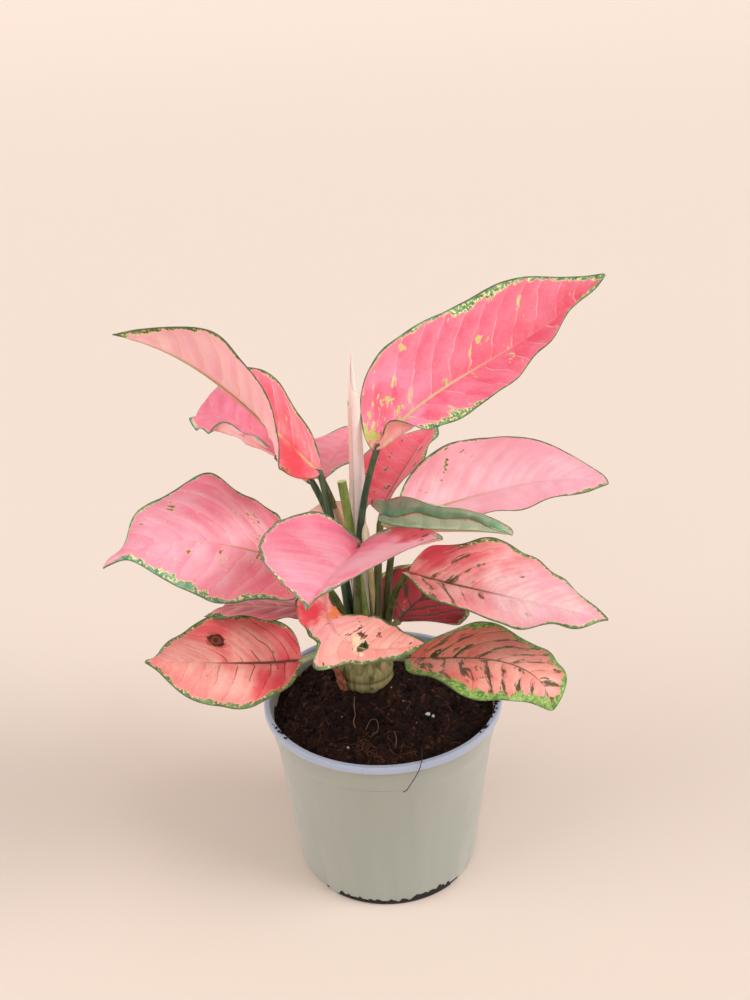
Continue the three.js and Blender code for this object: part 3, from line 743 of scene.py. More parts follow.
    gloss = look["gloss"]
    waxy = add("MapRange", [streak, 0, 1, gloss, gloss + 0.1])
    grain = add("TexNoise", {"Vector": flat, "Scale": 1 / 0.8, "Detail": 2.0})
    raised = add("Math", [veinLine, 0.8 if under else -0.6, grain], operation="MULTIPLY_ADD")
    raised = add("Math", [net, 0.9, raised], operation="MULTIPLY_ADD")
    bump = add("Bump", {"Height": raised, "Strength": 0.5, "Distance": 0.2 * mm})
    plug(skin,
         {"Base Color": paint, "Roughness": waxy, "Normal": bump, "Subsurface Weight": 0.12,
          "Subsurface Radius": (1.0, 0.35, 0.25), "Subsurface Scale": 1.2 * mm})
    return material


def stalkSkin(name, colours, seed):
    # a fleshy green stalk: smooth, satin, with fine streaks along it and paler patches
    material, add, skin = newMaterial(name)
    position = add("TexCoord")
    stretched = add("Mapping", {"Vector": (position, "Object"), "Scale": (1 / mm, 1 / mm, 0.08 / mm)})
    streak = patches(add, stretched, 1.3, seed, 0.35, 0.65)
    inMm = add("Mapping", {"Vector": (position, "Object"), "Scale": (1 / mm, 1 / mm, 1 / mm)})
    cloud = patches(add, inMm, 16, seed + 1, 0.4, 0.62)
    paint = add("Mix", [streak, colours[0], colours[1]])
    cloud = add("Math", [cloud, 0.55], operation="MULTIPLY")
    paint = add("Mix", [cloud, paint, colours[2]])
    # the sheath at the foot is pale, like the cane that it clasps
    upFrom = add("SeparateXYZ", [inMm])
    footShare = add("MapRange", [(upFrom, "Z"), 128.0, 109.0, 0, 0.97], **softly)
    footTone = add("Mix", [streak, "#8a8555", "#b0a87a"])
    paint = add("Mix", [footShare, paint, footTone])
    bump = add("Bump", {"Height": streak, "Strength": 0.3, "Distance": 0.15 * mm})
    plug(skin, {"Base Color": paint, "Roughness": 0.4, "Normal": bump})
    return material


# The cane

def caneSkin(name):
    # a fleshy green cane: pale and satin, ringed by old leaf scars, with darker green lines up it
    material, add, skin = newMaterial(name)
    position = add("TexCoord")
    inMm = add("Mapping", {"Vector": (position, "Object"), "Scale": (1 / mm, 1 / mm, 1 / mm)})
    height = add("SeparateXYZ", [inMm])
    upright = add("Mapping", {"Vector": (position, "Object"), "Scale": (1 / mm, 1 / mm, 0.05 / mm)})
    streak = patches(add, upright, 3.2, 40, 0.4, 0.6)
    paint = add("Mix", [streak, "#858050", "#aaa273"])
    line = patches(add, upright, 4.5, 43, 0.55, 0.61)
    line = add("Math", [line, 0.8], operation="MULTIPLY")
    paint = add("Mix", [line, paint, "#3f5226"])
    ringed = add("TexWave", {"Vector": inMm, "Scale": 1 / 38, "Distortion": 1.5, "Detail Scale": 0.2},
                 wave_type="BANDS", bands_direction="Z", wave_profile="SIN")
    scar = add("MapRange", [ringed, 0.92, 0.99, 0, 0.6])
    paint = add("Mix", [scar, paint, "#6b4f34"])
    stained = add("MapRange", [(height, "Z"), 99.0, 94.0, 0, 0.7])
    paint = add("Mix", [stained, paint, "#4a3826"])
    bump = add("Bump", {"Height": ringed, "Strength": 0.4, "Distance": 0.3 * mm})
    plug(skin, {"Base Color": paint, "Roughness": 0.5, "Normal": bump})
    return material


stem = turned("caneStem", [
    (10.5, 66), (12.9, 67), (13.3, 96.6), (13.9, 98), (13.5, 99.2), (13.6, 102.8), (14, 104), (13.7, 105.4),
    (13.6, 107), (12.2, 110), (9.8, 114), (8, 118), (4.5, 120.5),
], 48, cane["centre"])
for vertex in stem.data.vertices:
    # no real cane is quite round
    out = Vector((vertex.co.x - cane["centre"][0] * mm, vertex.co.y - cane["centre"][1] * mm, 0))
    bulge = noise.noise(Vector((out.x, out.y, vertex.co.z * 0.4)) / (16 * mm))
    vertex.co += out.normalized() * 0.6 * bulge * mm
smoothUnder(60)
settle(stem, "cane", "cane", caneSkin("fleshy_green_cane"))


# Stalks and blades

def rootOf(ring, angle):
    # where a stalk leaves the cane, on its outer or inner ring
    distance = cane["innerRing"] if ring == "inner" else cane["outerRing"]
    height = cane["top"] if ring == "inner" else cane["shoulder"]
    turn = math.radians(angle)
    return Vector((cane["centre"][0] + distance * math.cos(turn),
                   cane["centre"][1] + distance * math.sin(turn), height))


def ribAt(leaf, u):
    # the point of the midrib at u and its direction, on the cubic through the leaf's four points
    a, b, c, d = [Vector(p) for p in leaf["midrib"]]
    first = (-5 * a + 18 * b - 9 * c + 2 * d) / 6
    second = (2 * a - 9 * b + 18 * c - 5 * d) / 6
    v = 1 - u
    point = a * v ** 3 + first * 3 * v * v * u + second * 3 * v * u * u + d * u ** 3
    along = (first - a) * 3 * v * v + (second - first) * 6 * v * u + (d - second) * 3 * u * u
    return point, along.normalized()


def halfWidth(leaf, side, u):
    # how far the left (0) or right (1) half of the blade reaches from the midrib at u
    widest, taper = leaf["widest"], leaf["taper"]
    power = taper * widest / (1 - widest)
    share = u ** power * (1 - u) ** taper / (widest ** power * (1 - widest) ** taper)
    width = 0.7 + (leaf["half"][side] - 0.7) * share
    width *= through(leaf[("leftShape", "rightShape")[side]], u)
    sign = (-1, 1)[side]
    return width * (1 + leaf["ragged"] * noise.noise(Vector((u * 14, sign * 5, leaf["seed"]))))


def bladePoint(leaf, u, v):
    # a point of the blade at u from base to tip and v from -1, the left margin, to 1, the right
    middle, along = ribAt(leaf, u)
    right = along.cross(Vector((0, 0, 1))).normalized()
    above = right.cross(along)
    side, sign = (1, 1) if v > 0 else (0, -1)
    across = abs(v)
    widths = [halfWidth(leaf, 0, u), halfWidth(leaf, 1, u)]
    width = widths[side]
    lifts = [through(leaf["left"], u), through(leaf["right"], u)]
    curls = [leaf["leftCurl"], leaf["rightCurl"]]
    # the halves fold up no closer than the leaf's thickness allows where it is narrow
    fold = abs(sum(lifts) + sum(curls) / 6) / 2
    opening = math.degrees(math.atan(1.04 / (2 / 3 * min(widths))))
    kept = min(1, (90 - opening) / max(fold, 1))
    lift, curl = kept * lifts[side], kept * curls[side]
    chord, slope = math.radians(lift + curl * across / 2), math.radians(lift + curl * across)
    point = (middle + right * (sign * width * across * math.cos(chord))
             + above * (width * across * math.sin(chord)))
    hem = leaf[("leftHem", "rightHem")[side]]
    if hem:
        # a strip of the margin that has turned over: from and to along the leaf, its share, its angle
        begin, end, share, angle = hem
        strength = smooth(end, end - 0.15, u)
        if begin:
            strength = smooth(begin, begin + 0.02, u) * smooth(end, end - 0.12, u)
        flap = math.radians(angle) * strength * smooth(1 - share, 1 - share * 0.55, across)
        if across > 1 - share:
            edge = 1 - share
            start = (middle + right * (sign * width * edge * math.cos(chord))
                     + above * (width * edge * math.sin(chord)))
            strip = width * (across - edge)
            bent = slope + flap
            point = start + right * (sign * strip * math.cos(bent)) + above * (strip * math.sin(bent))
            slope = bent
    point -= along * (leaf["lobe"] * (1 - u) ** 3 * across ** 1.5)
    up = right * (-sign * math.sin(slope)) + above * math.cos(slope)
    return point, up, width, across, sign


def growBlade(leaf):
    # a grid laid out as the blade, with its folds, quilted veins and waved margins, then given its thickness
    blade = newGrid(leaf["name"], *leaf["grid"])
    mesh = blade.data
    length = sum((ribAt(leaf, (i + 1) / 30)[0] - ribAt(leaf, i / 30)[0]).length for i in range(30))
    swell, waves, phase = leaf["wave"]
    placeData, growthData, thinness = [], [], []
    for vertex in mesh.vertices:
        u = (1 - math.cos(math.pi * (vertex.co.x + 0.5))) / 2
        v = -2 * vertex.co.y
        point, up, width, across, sign = bladePoint(leaf, u, v)
        run = width * across
        vein = (u * length - 0.6 * run - 0.012 * run * run) / leaf["veinSpacing"] + (0.5 if sign > 0 else 0)
        bodyShare = min(1, width / 6)
        pastVein = (vein + 0.5) % 1
        pillow = (pastVein * (1 - pastVein) * 4) ** 0.7  # swells between the veins, with a crease on each
        quilt = pillow * smooth(0, 0.18, across) * smooth(1, 0.6, across) * bodyShare
        groove = math.exp(-(run / 1.1) ** 2) * (1 - u)
        ruffle = math.sin(2 * math.pi * waves * u + math.radians(phase) + (0 if sign > 0 else 2)) * across ** 3
        sway = noise.noise(Vector((u * length / 26, sign * run / 26, leaf["seed"] + 7)))
        height = (leaf["quilt"] * quilt - 0.45 * groove
                  + (swell * ruffle + leaf["sway"] * sway * across) * bodyShare)
        vertex.co = (point + up * height) * mm
        toMargin = (1 - across) * (width + 8 * max(0, 1 - u / 0.08))
        placeData += [u * length, sign * run, toMargin]
        edge = through(leaf[("leftBorder", "rightBorder")[sign > 0]], u)
        growthData += [vein, edge, u]
        thinness.append(1 - 0.6 * across ** 2)
    mesh.attributes.new("leafPlace", "FLOAT_VECTOR", "POINT").data.foreach_set("vector", placeData)
    mesh.attributes.new("leafGrowth", "FLOAT_VECTOR", "POINT").data.foreach_set("vector", growthData)
    group = blade.vertex_groups.new(name="thickness")
    for index, weight in enumerate(thinness):
        group.add([index], weight, "REPLACE")
    for hole in leaf["holes"]:
        cutHole(blade, *hole)
    skin = leaf["skin"]
    mesh.materials.append(leafSkin(leaf["name"] + "UpperSkin", skin, leaf["seed"]))
    mesh.materials.append(leafSkin(leaf["name"] + "UnderSkin", skin, leaf["seed"] + 20, under=True))
    thicken(blade, leaf["thickness"], vertex_group="thickness", material_offset=1)
    bpy.ops.object.shade_smooth()
    settle(blade, leaf["slot"], leaf["node"])


def cutHole(blade, along, side, size):
    # deletes the faces around a place on the flat leaf, with an uneven edge
    activate(blade)
    bpy.ops.object.mode_set(mode="EDIT")
    bpy.ops.mesh.select_mode(type="FACE")
    bpy.ops.mesh.select_all(action="DESELECT")
    bpy.ops.object.mode_set(mode="OBJECT")
    flat = blade.data.attributes["leafPlace"].data
    for face in blade.data.polygons:
        middle = sum((Vector(flat[i].vector) for i in face.vertices), Vector()) / len(face.vertices)
        away = math.hypot(middle.x - along, middle.y - side)
        face.select = away < size * (1 + 0.6 * noise.noise(middle / 2.2))
    bpy.ops.object.mode_set(mode="EDIT")
    bpy.ops.mesh.delete(type="FACE")
    bpy.ops.object.mode_set(mode="OBJECT")


def growStalk(leaf):
    # the leaf's stalk: a sheath that clasps the cane, the stalk itself, and the keel it makes under the blade
    root = rootOf(leaf["ring"], leaf["root"])
    base, _ = ribAt(leaf, 0)
    bend = Vector(leaf["bend"] or (root.x, root.y, root.z + 0.6 * (base.z - root.z)))
    sheath, thin = 3.1 if leaf["ring"] == "outer" else 2.9, 1.6
    axis = Vector((cane["centre"][0], cane["centre"][1], 0))
    inward = Vector((root.x, root.y, 0)) - axis
    foot = axis + inward * 0.62 + Vector((0, 0, root.z - 7))
    route = [(foot, sheath * 0.35), (foot.lerp(root, 0.5), sheath * 0.6)]
    for i in range(29):
        t = i / 28
        point = root * (1 - t) ** 2 + bend * (2 * t * (1 - t)) + base * t * t
        middle = 0.5 * (sheath + thin)
        radius = (sheath + (middle - 0.2 - sheath) * smooth(0, 0.3, t)
                  + (thin + 0.2 - middle) * smooth(0.15, 0.85, t))
        route.append((point, radius))
    for i in range(1, 19):
        u = 0.95 * (i / 18) ** 1.3
        middle, along = ribAt(leaf, u)
        right = along.cross(Vector((0, 0, 1))).normalized()
        above = right.cross(along)
        radius = 0.2 + (thin - 0.2) * (1 - u) ** 1.6 * 0.75
        sunk = (radius + 0.3 + 0.45 * (1 - u)) * smooth(-0.02, 0.05, u)  # under the blade's groove
        route.append((middle - above * sunk, radius))
    stalk = roundRods(leaf["name"] + "Stalk", [route])
    join, onwards = ribAt(leaf, 0.02)
    for face in stalk.data.polygons:
        if (face.center / mm - join).dot(onwards) > 1:
            face.material_index = 1
    # the keel is the rib under the blade: bare satin flesh, paler than the stalk's skin
    keel = newMaterial(leaf["name"] + "KeelSkin", {"Base Color": leaf["skin"]["keel"], "Roughness": 0.45})[0]
    settle(stalk, leaf["slot"], leaf["node"],
           stalkSkin(leaf["name"] + "StalkSkin", leaf["stalkColours"], leaf["seed"]), keel)


oliveStalk = ("#454f28", "#6b7540", "#30381a")
deepGreenStalk = ("#2f4a38", "#4d6b48", "#263a2a")
paleStalk = ("#8fae7c", "#b4c39a", "#c09a84")

usualLeaf = dict(
    stalkColours=oliveStalk, bend=None,
    widest=0.42, taper=0.9, leftShape=[1], rightShape=[1], ragged=0.012, lobe=0,
    leftCurl=0, rightCurl=0, leftHem=None, rightHem=None, holes=[],
    leftBorder=[1.5], rightBorder=[1.5],
    veinSpacing=10.5,  # along the midrib, in mm
    wave=(1.0, 3, 0),  # of the margins: height in mm, how many along the leaf, phase in degrees
    quilt=0.7, sway=1.0, thickness=0.55, grid=(130, 56),
)


def growLeaf(**own):
    # midrib: four points; half: the halves' widths; left and right: how the halves fold up, in degrees
    leaf = dict(usualLeaf, **own)
    growBlade(leaf)
    growStalk(leaf)
    print("leaf", leaf["name"])


usualSkin = dict(
    crook=0.7, streaks=0.45, quiltShade=0.5, edgeShow=0.45,
    veinWidth=0.07, greenSpread=0.24, greenLean=(0.09, -0.05), baseReach=16.0,
    ribReach=0.8, ribWidth=1.2, ribShow=0.85, speckCut=(0.54, 0.6), gloss=0.42,
)
roseSkin = dict(
    usualSkin,
    flesh=("#f75f80", "#fb9cae"),
    under=("#f3a2a4", "#f9c0b8"),
    edge="#f77d95",
    vein="#fbbcbc",
    keel="#c9ab88",
    veinShow=0.75,
    rib="#dccb8c",
    border=("#477a4c", "#79a271"),
    outline="#4e6148",
    cream="#f0e4a6",
    fleck="#7c8a4a",
    flecks=0.3,
    halo=0.75,
)
coralSkin = dict(
    usualSkin,
    flesh=("#ea5c62", "#f8a196"),
    under=("#a39a78", "#8fa374"),
    edge="#e0545a",
    vein="#6b3528",
    keel="#94a06a",
    veinShow=0.85,
    veinGreen="#4c5a2c",
    rib="#4a4f24",
    border=("#4a7040", "#7c9a5c"),
    outline="#4b5b34",
    cream="#e3d6a2",
    fleck="#4a4326",
    flecks=0.5,
    halo=0.3,
)

growLeaf(
    name="topRightLeaf", node="leaf_top_right", slot="pink_leaf", seed=1,
    ring="inner", root=-113, bend=(-12, 6, 190),
    midrib=[(2.4, 6, 227.4), (34, 19, 250), (70, 22, 270), (104, 10, 302)],
    half=(34, 25), widest=0.4, taper=0.85,
    left=[62, 64, 58, 62], right=[-4, -20, -20, -14],
    leftShape=[0.8, 0.95, 1, 0.95, 0.92, 0.92, 1, 1.13, 1.2, 1.07, 0.9],
    rightShape=[1, 0.95, 0.75, 0.85, 0.9, 0.92, 0.9, 0.72, 0.98, 0.5, 1.8],
    rightHem=(0, 0.2, 0.55, 165), lobe=3,
    leftBorder=[0.6, 0.7, 0.6, 0.9, 1.2, 3.4, 3.6, 1.8, 1.6, 2.2],
    rightBorder=[0.8, 1.4, 2.9, 3.4, 1.2, 0.5, 0.5, 0.6, 2.6, 2.6],
    wave=(1.2, 2.5, 40), stalkColours=deepGreenStalk, veinSpacing=11.5,
    skin=dict(roseSkin, flesh=("#ea5876", "#ee889b"), tip=("#ec546f", "#ef7b90"), edge="#ef8ca0", edgeShow=0.3,
              tint=("#efa2c0", 0.8, 0.6, 0.0), baseGreen=0.24, baseReach=30.0, fleck="#c4cc68",
              border=("#3f7a48", "#74a46c"), greenVeins=0.3, veinGreen="#d6d992", flecks=0.6,
              veinShow=0.85, veinWidth=0.05, rib="#d2c68c",
              ribWidth=0.9, ribReach=0.5, speckCut=(0.5, 0.56)),
)
growLeaf(
    name="topLeftLeaf", node="leaf_top_left", slot="pink_leaf", seed=2,
    ring="inner", root=-158, bend=(-16, 4, 170),
    midrib=[(-25, 5, 216), (-49, -5, 248), (-74, -15, 276), (-108, -10, 290)],
    half=(28, 20), left=[-20, -28, 20, 62, 66], right=[44, 56, 52, 30, 30],
    leftShape=[1, 0.92, 0.92, 1.2, 1.13, 1.1, 0.95, 1.1, 0.92, 0.65, 0.35],
    rightShape=[1, 1.13, 1.07, 1.13, 1, 0.72, 0.6, 0.6, 0.6, 0.6, 0.6],
    leftBorder=[1.5, 2.2, 1.2, 0.8, 1.2, 2.4, 2.6], rightBorder=[1.0, 1.2, 1.6, 1.4],
    stalkColours=deepGreenStalk,
    skin=dict(roseSkin, under=("#fab2bd", "#fccecb"), flesh=("#e65266", "#f08e96"), tip=("#ec7090", "#f09cb0"),
              marks=[(18, -9, 11, "#e84454", 12.0)],
              border=("#4a5f2e", "#71864a"), veinShow=0.9, vein="#f7bcb4", underVein="#f6b6a0"),
)
growLeaf(
    name="leftBackLeaf", node="leaf_left_back", slot="pink_leaf", seed=3,
    ring="inner", root=157,
    midrib=[(-29, 8, 210), (-50, 25, 224), (-70, 43, 230), (-88, 58, 227)],
    half=(14, 22), widest=0.6, taper=0.45, left=[24, 0, -14, -10], right=[40, 36, 30],
    rightShape=[1, 1, 1, 0.95, 0.9, 0.92, 0.98, 0.94, 1.02, 1.3, 2.6], leftHem=(0.2, 0.68, 0.36, 160),
    leftBorder=[1.0, 0.8, 0.8, 1.4], rightBorder=[1.0, 1.0, 1.6, 3.0],
    wave=(2.0, 4, 0), stalkColours=deepGreenStalk,
    skin=dict(roseSkin, flesh=("#ec6d88", "#f08ba1"), flecks=0.1, veinShow=0.3, ribShow=0.15,
              border=("#6d9480", "#9db8a4")),
)
growLeaf(
    name="backLeaf", node="leaf_back", slot="pink_leaf", seed=4,
    ring="inner", root=112,
    midrib=[(-25, 14, 209), (-20, 45, 207), (-15, 72, 205), (-9, 100, 203)],
    half=(27, 12), left=[-6], right=[10],
    skin=dict(roseSkin, flesh=("#ff7692", "#ffa0ae"), ribShow=0.1, flecks=0, veinShow=0.3),
)
growLeaf(
    name="leftRearLeaf", node="leaf_left_rear", slot="pink_leaf", seed=5,
    ring="inner", root=67,
    midrib=[(-9, 24, 182), (-20, 36, 180), (-33, 50, 173), (-48, 60, 163)],
    half=(20, 20), widest=0.45, taper=0.8, left=[-10], right=[4],
    skin=dict(roseSkin, flesh=("#efb4a2", "#f6cdbd"), edge="#eaa898", veinShow=0.3),
)
growLeaf(
    name="rightBackLeaf", node="leaf_right_back", slot="pink_leaf", seed=6,
    ring="inner", root=22,
    midrib=[(4, 10, 196), (12, 40, 196), (23, 70, 199), (35, 90, 203)],
    leftShape=[1, 1, 1, 1, 1, 1.05, 1.25, 1.5, 1.9, 1.9, 1.5],
    half=(27, 22), left=[-10, -16, -14, -12], right=[46],
    leftBorder=[1.0], rightBorder=[1.5, 2.0, 3.0, 2.5],
    skin=dict(roseSkin, flesh=("#ff4462", "#ff7488"), rib="#4c6a3a", fleck="#56603a", flecks=1.0,
              halo=0.3, baseGreen=0.1, veinShow=0.3),
)
growLeaf(
    name="rightUpperLeaf", node="leaf_right_upper", slot="pink_leaf", seed=7,
    ring="outer", root=8,
    midrib=[(11, 2, 192), (45, 12, 197), (78, 10, 205), (107, -5, 209)],
    half=(30, 24), left=[50, 44, 28, 0], right=[18, 4, -8, -22],
    leftBorder=[1.6, 1.4, 0.6, 0.6, 0.9], rightBorder=[0.8, 0.5, 0.5, 1.6],
    skin=dict(roseSkin, flesh=("#f5a3b1", "#f9ccd0"), tip=("#f7a6b6", "#fac6ce"), edge="#f59aac", rib="#a89a5c",
              quiltShade=0.28, streaks=0.32, tint=("#f4adc8", 0.35, 0.2, 0.9), ribReach=0.3, flecks=0.3,
              fleck="#4c5a34", halo=0.4, veinShow=0.25,
              marks=[(30, -20.8, 0.9, "#d9c98a", 0.8), (28.4, -17, 0.9, "#d9c98a", 0.8),
                     (30.4, -21.2, 0.7, "#5c6234", 0.6), (29.5, -20.2, 0.5, "#6a6c3c", 0.5),
                     (29.4, -18.9, 0.7, "#5c6234", 0.6), (28.3, -18.1, 0.4, "#6a6c3c", 0.5),
                     (28.4, -16.8, 0.6, "#5c6234", 0.6), (27.2, -15.6, 0.45, "#5c6234", 0.5),
                     (25, -12.2, 0.4, "#6a6c3c", 0.5)],
              border=("#66774a", "#93a070")),
)
growLeaf(
    name="greenFoldLeaf", node="leaf_green_fold", slot="green_leaf", seed=8,
    ring="outer", root=-50,
    midrib=[(2, 8, 189), (20, -10, 193), (40, -30, 201), (58, -45, 205)],
    half=(26, 12), widest=0.4, taper=0.8, left=[92], leftCurl=76, right=[50],
    leftBorder=[1.6, 1.8, 1.6, 1.8], rightBorder=[1.4],
    # the flesh and underside are the leaf's pale green, made lighter still as painted light for the inside of
    # the fold, which lies in shade
    skin=dict(roseSkin, flesh=("#a4d8b6", "#d4f0d2"), under=("#a6d8b6", "#d2eed0"), edge="#b2d8b9",
              vein="#b0c8a8", underVein="#b4cbaa", veinShow=0.35, border=("#8fa586", "#e3bfae"), cream="#ecc9bc",
              outline="#5a6b50", flecks=0.25, fleck="#e6c2b4", rib="#8db090", gloss=0.3),
)
growLeaf(
    name="rightLowerLeaf", node="leaf_right_lower", slot="red_leaf", seed=9,
    ring="outer", root=-22,
    midrib=[(14, -10, 169), (40, -25, 169), (67, -40, 169), (100, -50, 164)],
    half=(32, 24), left=[34, 24, 6, 8], right=[30, 12, -6, 0],
    leftShape=[1.5, 1, 0.85, 0.95, 1, 1, 1.05, 1, 1.2, 1, 0.9],
    rightShape=[2.2, 1.45, 1.2, 1.15, 1.05, 0.9, 0.9, 1.1, 0.9, 1.25, 0.6],
    leftBorder=[2.4, 2.2, 2.0, 1.4, 1.6, 1.4], rightBorder=[1.8, 1.8, 0.8, 1.0, 1.4],
    skin=dict(coralSkin, flesh=("#e25f6a", "#f6b0a8"), tip=("#f8b0b4", "#fbd2d0"), edge="#f0929a",
              tint=("#f5b4cb", 0.6, 0.35, 0.85), vein="#6a5028", veinShow=0.8, veinFade=(0.22, 0.5, 0.0),
              veinWidth=0.05, rib="#55501f", ribReach=0.48, ribWidth=1.5, flecks=0.3, greenVeins=0.55,
              veinGreen="#544a24", greenLean=(0.16, -0.22), greenSpread=0.34,
              marks=[(33, -13, 0.9, "#6f6c68", 0.6), (35, -14.5, 0.7, "#6f6c68", 0.5),
                     (8, -16, 9, "#d64a58", 9.0)]),
)
growLeaf(
    name="rightLowLeaf", node="leaf_right_low", slot="red_leaf", seed=10,
    ring="outer", root=-78,
    midrib=[(13, -15, 125), (36, -40, 141), (60, -60, 148), (73, -72, 133)],
    half=(30, 26), widest=0.5, taper=0.7, left=[36, 12, -12, 4], right=[14, 2, -8, -4],
    leftShape=[0.8, 0.9, 0.95, 0.95, 0.9, 0.85, 0.85, 0.95, 0.92, 0.95, 0.4],
    rightShape=[0.8, 0.8, 1, 0.85, 0.95, 1.05, 1.05, 1, 0.95, 0.78, 0.7],
    leftBorder=[5.0, 4.0, 2.6, 3.4, 4.0], rightBorder=[2.5, 3.4, 4.4, 4.4, 5.0],
    skin=dict(coralSkin, flesh=("#ea645a", "#ffb098"), tip=("#f69088", "#ffb8a8"), edge="#e07262",
              vein="#5f3a24", flecks=1.0, greenVeins=1.2, veinGreen="#3f4720", greenSpread=0.34, crook=1.7,
              border=("#4f8a3c", "#8fb35c"), cream="#b9c96c"),
)
growLeaf(
    name="rightShadeLeaf", node="leaf_right_shade", slot="red_leaf", seed=11,
    ring="outer", root=45,
    midrib=[(9, 27, 121), (16, 40, 121), (29, 54, 124), (49, 66, 131)],
    half=(28, 34), left=[16], right=[4],
    # painted shade: the flesh, edge, veins and rib are darkened for the shade this leaf lies in under the others
    skin=dict(coralSkin, flesh=("#7a1620", "#ae2f3c"), edge="#5c121c", greenVeins=1.3, veinGreen="#262f15",
              vein="#3a3418", rib="#2c3418"),
)
growLeaf(
    name="leftMidLeaf", node="leaf_left_mid", slot="pink_leaf", seed=12,
    ring="outer", root=142,
    midrib=[(-41, -5, 176), (-64, -20, 192), (-90, -35, 203), (-118, -45, 197)],
    half=(30, 36), left=[-10, -36, -38, -20], right=[44, 42, 16, -4],
    leftShape=[2, 1.6, 1.15, 1, 1, 1, 0.95, 0.9, 0.7, 0.25, 0.3],
    rightShape=[1.9, 1.1, 0.95, 0.92, 1.08, 1, 0.95, 1, 1.05, 0.72, 1.4],
    leftBorder=[1.0, 1.2, 2.6, 3.2, 3.2, 1.0], rightBorder=[1.0, 0.9, 1.1, 1.0, 1.6, 1.4],
    veinSpacing=12,
    skin=dict(roseSkin, flesh=("#f27f95", "#f5b4bd"), tip=("#f190a5", "#f4b0be"), edge="#f0748b", quiltShade=0.5,
              fleck="#a0653f", flecks=1.0, rib="#c9885a", ribReach=0.35, ribWidth=0.9,
              border=("#4d8a64", "#7fae84"), vein="#fcc0c4", veinShow=0.35),
)
growLeaf(
    name="leftUnderLeaf", node="leaf_left_under", slot="pink_leaf", seed=13,
    ring="outer", root=170,
    midrib=[(-29, -14, 157), (-47, -15, 157), (-65, -18, 160), (-81, -18, 155)],
    half=(22, 24), widest=0.45, taper=0.8, left=[14], right=[-18],
    leftBorder=[1.0, 1.0, 1.2, 6.0], rightBorder=[1.0, 1.0, 1.2, 6.0],
    skin=dict(roseSkin, flesh=("#b84a64", "#dc8a96"), border=("#3d6638", "#5f8550"),
              under=("#b98a80", "#c9a090"), veinWidth=0.12),
)
growLeaf(
    name="leftLowLeaf", node="leaf_left_low", slot="red_leaf", seed=14,
    ring="outer", root=-162,
    midrib=[(-38, -20, 130), (-59, -42, 144), (-79, -60, 157), (-99, -72, 166)],
    half=(25, 25), taper=0.85, left=[-4, -20, -40, -24], right=[72, 44, 6, -8], stalkColours=paleStalk,
    leftShape=[0.3, 0.6, 0.78, 0.87, 0.92, 0.97, 0.95, 0.98, 1, 0.95, 0.6],
    rightShape=[1.3, 1.15, 1, 1, 1, 1.07, 1.07, 1.05, 1, 0.9, 1],
    leftBorder=[1.2, 1.8, 2.2, 1.8, 2.2], rightBorder=[1.4, 1.6, 1.8, 1.6, 2.4],
    veinSpacing=9,
    skin=dict(coralSkin, flesh=("#e84c5a", "#f69a94"), tip=("#fa9f96", "#fec4b6"), edge="#e24c5c",
              vein="#742c28", veinShow=0.95, veinFade=(0.4, 0.72, 0.12), flecks=0.45, fleck="#5a3a28",
              rib="#4c3218", ribReach=0.5,
              marks=[(43, 13, 4.3, "#c0685a", 1.6), (43, 13, 3.6, "#4a2018", 0.6), (43, 13, 2.4, "#80442f", 0.8),
                     (43, 13, 1.1, "#4a2018", 0.5)]),
)
growLeaf(
    name="frontLeaf", node="leaf_front", slot="pink_leaf", seed=15,
    ring="outer", root=-106,
    midrib=[(-8, -15, 187), (-14, -50, 198), (-20, -82, 207), (-28, -100, 204)],
    half=(44, 36), widest=0.35, left=[34, 18, 24, 36], right=[50, 26, 20, 16], lobe=8,
    leftShape=[0.7, 0.7, 0.8, 0.9, 1, 1.1, 1.2, 0.85, 0.38, 0.3, 0.5],
    rightShape=[0.3, 0.8, 0.9, 0.95, 0.95, 1, 1.05, 1.13, 1.25, 1, 0.4],
    leftBorder=[3.4, 2.8, 1.2, 2.0], rightBorder=[1.8, 1.2, 1.0, 1.2, 2.6],
    skin=dict(roseSkin, flesh=("#ef6f8d", "#f38ea4"), tip=("#f58ca3", "#f7abba"), edge="#f0829a", streaks=0.25,
              border=("#66745c", "#93a284"), outline="#6b7362", flecks=0.12, rib="#f6a0aa", ribShow=0.25,
              veinShow=0.3,
              marks=[(42, -20, 19, "#fbb2bf", 18.0), (9, -25, 8, "#dc4a58", 9.0), (24, -32, 9, "#da4c5c", 10.0),
                     (3, -30, 2.4, "#6b6038", 2.0), (14, -33, 1.6, "#6b5034", 1.4),
                     (21, -34, 1.3, "#6b5034", 1.2), (26, -31, 0.9, "#7a4a3a", 1.0),
                     (30, -36, 1.5, "#6b5034", 1.2), (35, -35, 0.9, "#7a4a3a", 1.0)]),
)
